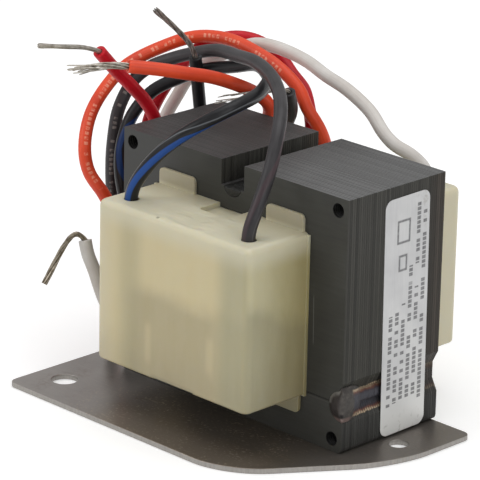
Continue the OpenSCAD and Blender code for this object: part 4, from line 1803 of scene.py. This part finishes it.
@dataclass
class WeldBeads:
    """The seam beads, the yoke bead and the plate's tacks, roughened from their CAD forms."""

    start_y: float
    joint_z: float
    side_x: float
    voxel: float = 0.13
    lumps: float = 0.09
    lump_scale: float = 0.9
    smooth_angle: float = 60.0
    tack_x: float = 18.0
    tack_l: float = 9.0
    tack_ripple: float = 1.1
    ripple_depth: float = 0.06
    tack_tip: float = 0.3

    def draw_in_tacks(self, piece: Piece) -> None:
        """Thins the plate's tacks towards their ends and ripples them, about the core's lower back edge.

        Args:
            piece: Both tacks in one mesh.
        """
        back, foot = -self.start_y, node_box("lower_core")[0].z
        for vertex in piece.data.vertices:
            x, y, z = vertex.co / MM
            along = abs(x) - self.tack_x
            swell = math.sqrt(max(0.0, 1.0 - abs(2.0 * along / self.tack_l) ** 3))
            wave = math.cos(2.0 * math.pi * along / self.tack_ripple)
            ripple = 1.0 + self.ripple_depth * (wave - 1.0)
            size = max(self.tack_tip, swell * ripple)
            vertex.co.y = (back + (y - back) * size) * MM
            vertex.co.z = (foot + (z - foot) * size) * MM

    def bead(self, node: str, name: str, finish: WeldTint) -> None:
        """Turns one CAD weld into a rough bead.

        Args:
            node: CAD node of the weld.
            name: Name of the new piece.
            finish: Its metal.
        """
        piece = Bench.merged_copy(node, name)
        Bench.modify(piece, "REMESH", mode="VOXEL", voxel_size=self.voxel * MM)
        if node == "plate_welds":
            self.draw_in_tacks(piece)
        Bench.modify(piece, "SMOOTH", factor=0.5, iterations=3)
        texture = bpy.data.textures.new(name + "_lumps", "CLOUDS")
        texture.noise_scale = self.lump_scale * MM
        texture.noise_depth = 2
        Bench.modify(piece, "DISPLACE", texture=texture, texture_coords="LOCAL", strength=self.lumps * MM,
                     mid_level=0.6)
        Bench.shade(piece, self.smooth_angle)
        dress(piece, finish.material())
        fit(piece, node)

    def build(self) -> None:
        """Makes and dresses the welds."""
        tint = HeatTint(self.joint_z, self.side_x, self.start_y)
        self.bead("right_seam_weld", "right_bead", WeldTint("right_bead_metal", tint))
        self.bead("left_seam_weld", "left_bead", WeldTint("left_bead_metal", tint))
        varnished = WeldTint("yoke_bead_metal", low=linear(34, 34, 32), grey=linear(46, 46, 44),
                             high=linear(62, 62, 60))
        self.bead("yoke_weld", "yoke_bead", varnished)
        self.bead("plate_welds", "plate_tacks", WeldTint("plate_tack_metal"))


@dataclass
class MouldedCover:
    """One nylon cover over an end of the coil, modelled in front of the core."""

    node: str
    name: str
    holes: tuple[float, ...]
    turned: bool
    wall: float = 1.0
    edge_r: float = 1.8
    top_r: float = 1.5
    bottom_r: float = 0.8
    rim_t: float = 0.7
    rim_side: float = 0.7
    rim_reach: float = 0.3
    rim_drop: float = 0.4
    step: float = 0.03
    tab_w: float = 10.7
    tab_inset: float = 1.3
    tab_up: float = 3.6
    tab_down: float = 4.2
    tab_r: float = 1.1
    tab_root: float = 3.0
    gate_x: float = 0.7
    gate_w: float = 8.5
    gate_l: float = 6.3
    gate_h: float = 1.0
    gate_floor: float = 0.5
    gate_r: float = 0.8
    foot_x: float = 1.0
    foot_w: float = 12.0
    foot_depth: float = 3.0
    foot_h: float = 0.5
    hole_d: float = 3.3
    hole_y: float = 5.2
    overcut: float = 1.0
    edge: float = 0.16
    smooth_angle: float = 42.0
    divider_z: float = 29.0
    low: Vector = field(init=False)
    high: Vector = field(init=False)

    def __post_init__(self) -> None:
        """Takes the cover's corners from its CAD node, as it stands in front of the core."""
        low, high = node_box(self.node)
        front, back = (-high.y, -low.y) if self.turned else (low.y, high.y)
        self.low = Vector((low.x + self.rim_side, front, low.z + self.tab_down))
        self.high = Vector((high.x - self.rim_side, back, high.z - self.tab_up))

    def body(self) -> Piece:
        """Shapes the outside: a block with rounded upright, top and bottom edges.

        Returns:
            The body.
        """
        body = Bench.block(self.name, self.low, self.high)
        front, back = self.low.y, self.high.y
        Bench.round_edges(body, upright_before(front + 0.1), self.edge_r, 8)
        for level, radius, strips in ((self.high.z, self.top_r, 6), (self.low.z, self.bottom_r, 4)):
            Bench.round_edges(body, lambda a, b: lies_at(a, b, level) and min(a.y, b.y) < back - 0.1,
                              radius, strips)
        return body

    def rim(self) -> Piece:
        """Shapes the rim on the core's face with its four tabs.

        Returns:
            The rim.
        """
        front, back = self.high.y - self.rim_t, self.high.y - self.step
        rim = Bench.block("rim", (self.low.x - self.rim_reach, front, self.low.z + self.step),
                          (self.high.x + self.rim_reach, back, self.high.z - self.rim_drop))
        outer = self.high.x - self.tab_inset
        tabs = ((self.high.z - self.tab_root, self.high.z + self.tab_up),
                (self.low.z - self.tab_down, self.low.z + self.tab_root))
        for side in (-1, 1):
            left, right = sorted((side * outer, side * (outer - self.tab_w)))
            for bottom, top in tabs:
                tab = Bench.block("tab", (left, front, bottom), (right, back, top))
                tip = top if top > self.high.z else bottom
                Bench.round_edges(tab, lambda a, b: lies_at(a, b, tip) and same(a.x, b.x), self.tab_r, 6)
                Bench.combine(rim, tab, Join.ADD)
        return rim

    def hollow(self) -> Piece:
        """Shapes the room inside the cover.

        Returns:
            The tool that cuts it.
        """
        room = Bench.block("room", self.low + Vector((self.wall, self.wall, self.wall)),
                           self.high + Vector((-self.wall, self.overcut, -self.wall)))
        front = self.low.y + self.wall
        Bench.round_edges(room, upright_before(front + 0.1), self.edge_r - self.wall, 6)
        return room

    def build(self) -> None:
        """Makes and dresses the cover."""
        cover = self.body()
        Bench.combine(cover, self.rim(), Join.ADD)
        Bench.combine(cover, self.hollow(), Join.CUT)
        back, roof = self.high.y, self.high.z
        gate_y, gate_z = back - self.gate_l, roof - self.gate_h
        left, right = self.gate_x - self.gate_w / 2, self.gate_x + self.gate_w / 2
        pad = Bench.block("pad", (left - self.wall, gate_y - self.wall, gate_z - self.gate_floor),
                          (right + self.wall, back - self.step, roof - self.wall / 2))
        Bench.combine(cover, pad, Join.ADD)
        gate = Bench.block("gate", (left, gate_y, gate_z), (right, back + self.overcut, roof + self.overcut))
        Bench.round_edges(gate, upright_before(back - self.overcut), self.gate_r, 4)
        Bench.combine(cover, gate, Join.CUT)
        left, right = self.foot_x - self.foot_w / 2, self.foot_x + self.foot_w / 2
        foot = Bench.block("foot", (left, self.low.y - self.overcut, self.low.z - self.overcut),
                           (right, self.low.y + self.foot_depth, self.low.z + self.foot_h))
        Bench.combine(cover, foot, Join.CUT)
        for x in self.holes:
            hole = Bench.rod("hole", (x, self.low.y + self.hole_y, roof), self.hole_d / 2,
                             2 * (self.wall + self.overcut), Axis.Z, 32)
            Bench.combine(cover, hole, Join.CUT)
        Bench.soften(cover, self.edge, 2)
        Bench.shade(cover, self.smooth_angle)
        Bench.modify(cover, "WEIGHTED_NORMAL", keep_sharp=True)
        if self.turned:
            cover.rotation_euler = (0.0, 0.0, math.pi)
            Bench.settle(cover)
        nylon = NaturalNylon(self.name + "_nylon", self.high.x, -self.high.y, -self.low.y, self.divider_z,
                             self.low.z, not self.turned)
        dress(cover, nylon.material())
        fit(cover, self.node)


@dataclass
class MountingPlate:
    """Steel plate with a slanting cut at its front right corner."""

    cut_run: float = 20.7
    cut_rise: float = 29.8
    cut_front_r: float = 18.0
    cut_side_r: float = 30.0
    corner_r: float = 1.8
    left_hole: tuple[float, float, float] = (7.5, 9.7, 5.8)
    right_hole: tuple[float, float, float] = (6.7, 15.3, 4.2)
    drill_l: float = 4.0
    edge: float = 0.18
    smooth_angle: float = 35.0

    def build(self) -> None:
        """Makes and dresses the plate."""
        low, high = node_box("base_plate")
        plate = Bench.block("mounting_plate", low, high)
        Bench.opened(plate, "VERT", "SELECT")
        turn = math.atan2(self.cut_rise, self.cut_run)
        bpy.ops.mesh.bisect(plane_co=(high.x * MM, (low.y + self.cut_rise) * MM, 0.0),
                            plane_no=(math.sin(turn), -math.cos(turn), 0.0), clear_outer=True, use_fill=True)
        Bench.closed()
        front_reach = self.cut_front_r * math.tan(turn / 2)
        side_reach = self.cut_side_r * math.tan((math.pi / 2 - turn) / 2)
        corners = [((high.x - self.cut_run, low.y), front_reach, 14),
                   ((high.x, low.y + self.cut_rise), side_reach, 14)]
        square = ((low.x, low.y), (low.x, high.y), (high.x, high.y))
        corners += [(corner, self.corner_r, 6) for corner in square]
        for (x, y), reach, strips in corners:
            Bench.round_edges(plate, lambda a, b: abs(a.z - b.z) > 0.5 and same(a.x, x) and same(a.y, y),
                              reach, strips)
        left_x, left_y, left_d = self.left_hole
        right_x, right_y, right_d = self.right_hole
        for x, y, wide in ((low.x + left_x, low.y + left_y, left_d),
                           (high.x - right_x, high.y - right_y, right_d)):
            hole = Bench.rod("hole", (x, y, high.z), wide / 2, self.drill_l, Axis.Z, 48)
            Bench.combine(plate, hole, Join.CUT)
        Bench.soften(plate, self.edge, 3)
        Bench.shade(plate, self.smooth_angle)
        Bench.modify(plate, "WEIGHTED_NORMAL", keep_sharp=True)
        dress(plate, MountingSteel(low.y).material())
        fit(plate, "base_plate")


@dataclass
class SideLabel:
    """Film label on the right side of the core."""

    width: float = 13.4
    corner_r: float = 2.0
    tilt: float = 0.8
    edge: float = 0.04
    smooth_angle: float = 40.0

    def build(self) -> None:
        """Makes and dresses the label."""
        low, high = node_box("label")
        middle = (low + high) / 2
        turn = math.radians(self.tilt)
        length = (high.z - low.z) / math.cos(turn)
        label = Bench.block("side_label", (low.x, -self.width / 2, -length / 2),
                            (high.x, self.width / 2, length / 2))
        Bench.round_edges(label, lambda a, b: abs(a.x - b.x) > 0.05, self.corner_r, 8)
        label.location = (0.0, middle.y * MM, middle.z * MM)
        label.rotation_euler = (turn, 0.0, 0.0)
        Bench.settle(label)
        Bench.soften(label, self.edge, 2)
        Bench.shade(label, self.smooth_angle)
        dress(label, SilverFilm(tuple(middle)).material())
        fit(label, "label")


@dataclass
class CoilInside:
    """The bobbin, windings and tapes inside, which keep their CAD solids."""

    wire: float = 0.8

    def build(self) -> None:
        """Dresses the CAD nodes."""
        finishes = {
            "bobbin": BobbinPlastic(),
            "primary_winding": EnamelledTurns("primary_turns", self.wire),
            "secondary_winding": EnamelledTurns("secondary_turns", self.wire),
            "primary_tape": FilmTape("primary_film"),
            "secondary_tape": FilmTape("secondary_film"),
        }
        for node, finish in finishes.items():
            dress(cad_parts[node], finish.material())
            LOG.info("%s keeps its solid", node)


@dataclass
class Studio:
    """Camera at the photograph's angle, plain floor and soft light."""

    azimuth: float = 44.957
    elevation: float = 19.226
    roll: float = 1.199
    distance: float = 729.1
    target: Point = (-15.66, 3.64, 31.30)
    lens: float = 251.55
    sensor: float = 36.0
    clip: Span = (0.01, 20.0)
    aim: Point = (0.0, 0.0, 0.03)
    lamps: tuple[tuple[str, Point, float, float], ...] = (
        ("front_left_softbox", (-0.45, -0.75, 0.6), 0.6, 2.6),
        ("overhead_softbox", (0.05, 0.1, 0.95), 0.8, 3.4),
        ("right_fill", (0.85, -0.15, 0.45), 0.5, 1.6))
    world_strength: float = 0.5
    floor_size: float = 6.0
    floor_drop: float = 0.00005

    def camera(self) -> None:
        """Places the camera."""
        turn, rise, roll = (math.radians(a) for a in (self.azimuth, self.elevation, self.roll))
        back = Vector((math.sin(turn) * math.cos(rise), -math.cos(turn) * math.cos(rise), math.sin(rise)))
        right = (-back).cross(Vector((0.0, 0.0, 1.0))).normalized()
        up = right.cross(-back)
        leaning = math.cos(roll) * right + math.sin(roll) * up
        upright = -math.sin(roll) * right + math.cos(roll) * up
        spot = (Vector(self.target) + back * self.distance) * MM
        data = bpy.data.cameras.new("photo_camera")
        data.lens = self.lens
        data.sensor_width = self.sensor
        data.clip_start, data.clip_end = self.clip
        camera = bpy.data.objects.new("photo_camera", data)
        turned = Matrix((leaning, upright, back)).transposed().to_4x4()
        camera.matrix_world = Matrix.Translation(spot) @ turned
        bpy.context.scene.collection.objects.link(camera)
        bpy.context.scene.camera = camera

    def lamp(self, name: str, spot: Point, size: float, watts: float) -> None:
        """Adds one soft square lamp that faces the aim.

        Args:
            name: Name of the lamp.
            spot: Place in metres.
            size: Side of the square in metres.
            watts: Power.
        """
        data = bpy.data.lights.new(name, "AREA")
        data.size = size
        data.energy = watts
        lamp = bpy.data.objects.new(name, data)
        lamp.location = spot
        lamp.rotation_euler = (Vector(self.aim) - Vector(spot)).to_track_quat("-Z", "Y").to_euler()
        bpy.context.scene.collection.objects.link(lamp)

    def light(self) -> None:
        """Sets the world and the lamps."""
        scene = bpy.context.scene
        scene.view_settings.view_transform = "Standard"
        world = bpy.data.worlds.new("studio_white")
        world.use_nodes = True
        background = world.node_tree.nodes["Background"]
        background.inputs["Color"].default_value = (1.0, 1.0, 1.0, 1.0)
        background.inputs["Strength"].default_value = self.world_strength
        scene.world = world
        for name, spot, size, watts in self.lamps:
            self.lamp(name, spot, size, watts)

    def floor(self) -> None:
        """Lays the floor under the plate."""
        Bench.clear()
        bpy.ops.mesh.primitive_plane_add(size=self.floor_size, location=(0.0, 0.0, -self.floor_drop))
        floor = Bench.named("studio_floor")
        dress(floor, PaleFloor().material())


PRINT = linear(214, 206, 196)

LEADS = [
    Lead("black_brown",
         [(17.5, -27, 35), (17.5, -27, 42), (17.5, -27, 48.5), (17.5, -24.5, 54), (16.5, -20.5, 60),
          (14, -16, 65.5), (10, -11, 69), (4, -5.5, 71), (-4, 0, 72), (-13, 4.5, 72), (-22.5, 8.5, 70.5),
          (-32, 12, 69), (-40, 13.5, 66.5), (-46.5, 12.5, 64), (-51, 9.5, 61.5), (-53.5, 6.5, 58),
          (-54, 3, 52.5), (-53.5, 1, 46.5), (-53, 0, 40), (-53, 0.5, 33), (-53, 3, 25.5), (-52, 8, 18.5),
          (-48.5, 15, 13.5), (-43.5, 22, 13.5), (-38, 26.5, 18.5), (-34, 28, 27), (-30.5, 27.5, 36),
          (-26.5, 26, 44.5), (-22, 23.5, 51.5), (-17.5, 20.5, 57), (-16, 18, 62)],
         [(-16, 15, 63), (-16, 11.5, 63.5), (-16.5, 7, 63.5), (-19, 1.5, 63)],
         Insulation("black_brown_pvc", linear(62, 60, 62), linear(38, 36, 38),
                    Tracer(linear(80, 60, 65), linear(82, 79, 79), half=0.065, glint_turn=0.23),
                    Dashes(PRINT, around=0.5, run=(118.0, 150.0), strength=0.26, pitch=1.0),
                    shine=0.34, dark_start=0.6),
         StrippedEnd(strands=7, thick=0.26, bundle=0.34, turns=0.6, splay=1.3, splay_from=0.3, seed=11,
                     ragged=0.1, longer=0.12),
         ((0, 0.58), (13, 0.61), (18, 0.64), (24, 0.74), (30, 0.92), (40, 1.0), (100, 0.97), (125, 0.94))),
    Lead("black_blue",
         [(-17.5, -27, 35), (-17.5, -27, 42), (-17.5, -27, 48), (-15.5, -26.5, 52.5), (-11.5, -25, 58),
          (-7, -23, 62.5), (-3, -19.5, 66), (-0.5, -14, 68.5), (-2, -6.5, 69), (-7, 1.5, 68.5),
          (-11.5, 7, 68.5), (-19.5, 11.5, 68.5), (-28, 13, 66), (-36.5, 13, 63.5), (-43, 11.5, 60.5),
          (-47, 7, 57.5), (-48.5, 2.5, 53), (-48.5, -0.5, 48), (-47.5, -2.5, 42.5), (-46.5, -2.5, 36.5),
          (-46, -1, 31), (-45, 0.5, 26), (-43, 4, 23), (-40.5, 8.5, 23), (-38.5, 12, 26),
          (-37.5, 13.5, 32), (-37.5, 13.5, 40), (-37.5, 13, 48), (-37.5, 12, 55.5), (-37, 10.5, 63),
          (-36.5, 9.5, 67)],
         [(-36.5, 7.5, 70.5), (-37.5, 4, 74.5), (-39, -0.5, 79)],
         Insulation("black_blue_pvc", linear(38, 38, 40), linear(20, 20, 22),
                    Tracer(linear(26, 70, 138), linear(112, 116, 120), half=0.078, glint_turn=-0.22,
                           shaded_run=110.0), gloss=0.1, shine=0.24),
         StrippedEnd(strands=7, thick=0.42, bundle=0.4, turns=1.1, splay=0.1, splay_from=0.8, seed=12,
                     bright=linear(172, 165, 157), dull=linear(112, 106, 100)),
         ((0, 0.62), (13, 0.65), (18, 0.66), (25, 0.73), (32, 0.79), (36, 0.89), (40, 0.96), (60, 1.0),
          (80, 0.86), (104, 0.78), (112, 0.9), (117, 1.0), (121, 1.26), (125.5, 1.33), (130, 1.25),
          (134, 1.05), (150, 1.0), (165, 0.78), (185, 0.68), (203, 0.68))),
    Lead("orange",
         [(-13, 27, 35), (-13, 27, 42), (-13, 27, 48), (-13.5, 25.5, 52.5), (-16, 24, 57), (-19, 24, 61),
          (-24.5, 23.5, 64.5), (-31.5, 23.5, 66.5), (-39.5, 22.5, 68), (-47, 19.5, 67.5), (-52, 13.5, 65),
          (-54.5, 6, 62), (-54.5, -0.5, 58), (-53.5, -6, 53), (-51.5, -9.5, 47), (-49.5, -10, 41.5),
          (-46, -8.5, 36.5), (-44, -6, 29.5), (-44, -3, 20.5), (-45, 3, 12.5), (-43, 10.5, 8.5),
          (-39.5, 17, 10.5), (-36, 20.5, 17.5), (-33, 21, 27), (-30, 20, 36.5), (-26.5, 19, 45),
          (-22.5, 18, 53), (-19.5, 15.5, 58.5), (-19, 11.5, 62), (-19, 6, 65), (-20, -1, 68),
          (-21.5, -8, 70), (-24, -14, 71.5), (-27, -19.5, 72.5)],
         [(-28.5, -23, 73), (-30.5, -27.5, 73), (-32.5, -32.5, 72.5)],
         Insulation("orange_pvc", linear(230, 77, 40), linear(204, 57, 28), shine=0.4,
                    dashes=Dashes(linear(246, 176, 146), around=0.72, run=(33.0, 108.0), strength=0.62,
                                  pitch=1.1)),
         StrippedEnd(strands=12, thick=0.3, bundle=0.32, turns=0.7, splay=1.3, splay_from=0.45, seed=13,
                     ragged=0.15)),
    Lead("red",
         [(-17.5, 27, 35), (-17.5, 27, 42), (-17.5, 27, 48), (-18, 27.5, 52), (-20, 28.5, 56),
          (-23.5, 30.5, 58.5), (-28.5, 32, 60.5), (-34, 33, 63.5), (-39.5, 31.5, 66), (-44, 28, 66.5),
          (-47, 22, 65), (-48, 16, 61), (-50, 11.5, 54.5), (-51, 9, 48), (-50.5, 8, 41), (-50, 8, 34),
          (-49.5, 8, 26.5), (-48.5, 7, 22), (-45.5, 5, 19.5), (-42.5, 3, 19.5), (-39.5, 1, 22),
          (-38.5, 0, 26.5), (-38, -0.5, 36), (-38, -0.5, 45), (-37.5, -1, 53), (-37, -4.5, 59),
          (-36.5, -10, 64.5), (-36, -15, 69), (-35.5, -20, 74)],
         [(-36, -24, 75.5), (-36.5, -29, 76.5), (-38, -35, 77.5)],
         Insulation("red_pvc", linear(200, 16, 34), linear(166, 8, 24), shine=0.3),
         StrippedEnd(strands=7, thick=0.5, bundle=0.28, turns=0.45, splay=0.0, splay_from=0.9, seed=14)),
    Lead("white",
         [(17.5, 27, 35), (17.5, 27, 42), (17.5, 27, 47.5), (17, 26, 51), (15.5, 23.5, 54),
          (12.5, 21.5, 56), (9, 21.5, 58), (3, 23.5, 61), (-5, 25, 63.5), (-13.5, 27, 64.5),
          (-21.5, 28.5, 66), (-30, 28.5, 67), (-36.5, 28, 66.5), (-42, 26.5, 64), (-47.5, 25, 61),
          (-51, 22.5, 57.5), (-52.5, 19.5, 52.5), (-53.5, 16.5, 47), (-54.5, 14.5, 38), (-56, 12, 29.5),
          (-56.5, 9, 22), (-55, 5, 14.5), (-51.5, 0.5, 8.5), (-46.5, -5.5, 5), (-40.5, -11.5, 4),
          (-35.5, -16, 5.5), (-31.5, -18.5, 9.5), (-31, -20, 15), (-33, -21, 20), (-35, -21.5, 25),
          (-36.5, -22, 28.5), (-37.5, -22, 31.5)],
         [(-38.5, -24, 33), (-39, -27, 30.5), (-40, -31.5, 23)],
         Insulation("white_pvc", linear(214, 210, 205), linear(196, 188, 180), shine=0.3),
         StrippedEnd(strands=7, thick=0.42, bundle=0.38, turns=1.3, splay=0.05, splay_from=0.7, seed=15,
                     bright=linear(176, 166, 150), dull=linear(112, 101, 84))),
]


def main() -> None:
    """Builds the studio, the leads and every other piece, and notes the sizes."""
    logging.basicConfig(level=logging.INFO, format="%(message)s")
    studio = Studio()
    studio.camera()
    for lead in LEADS:
        lead.build()
    core = LaminatedCore()
    core.build()
    WeldBeads(core.low.y, core.joint_z, core.high.x).build()
    MouldedCover("front_cover", "front_moulding", holes=(-17.5, 17.5), turned=False).build()
    MouldedCover("rear_cover", "rear_moulding", holes=(-17.5, 13.0, 17.5), turned=True).build()
    MountingPlate().build()
    SideLabel().build()
    CoilInside().build()
    studio.light()
    studio.floor()


if __name__ == "__main__":
    main()
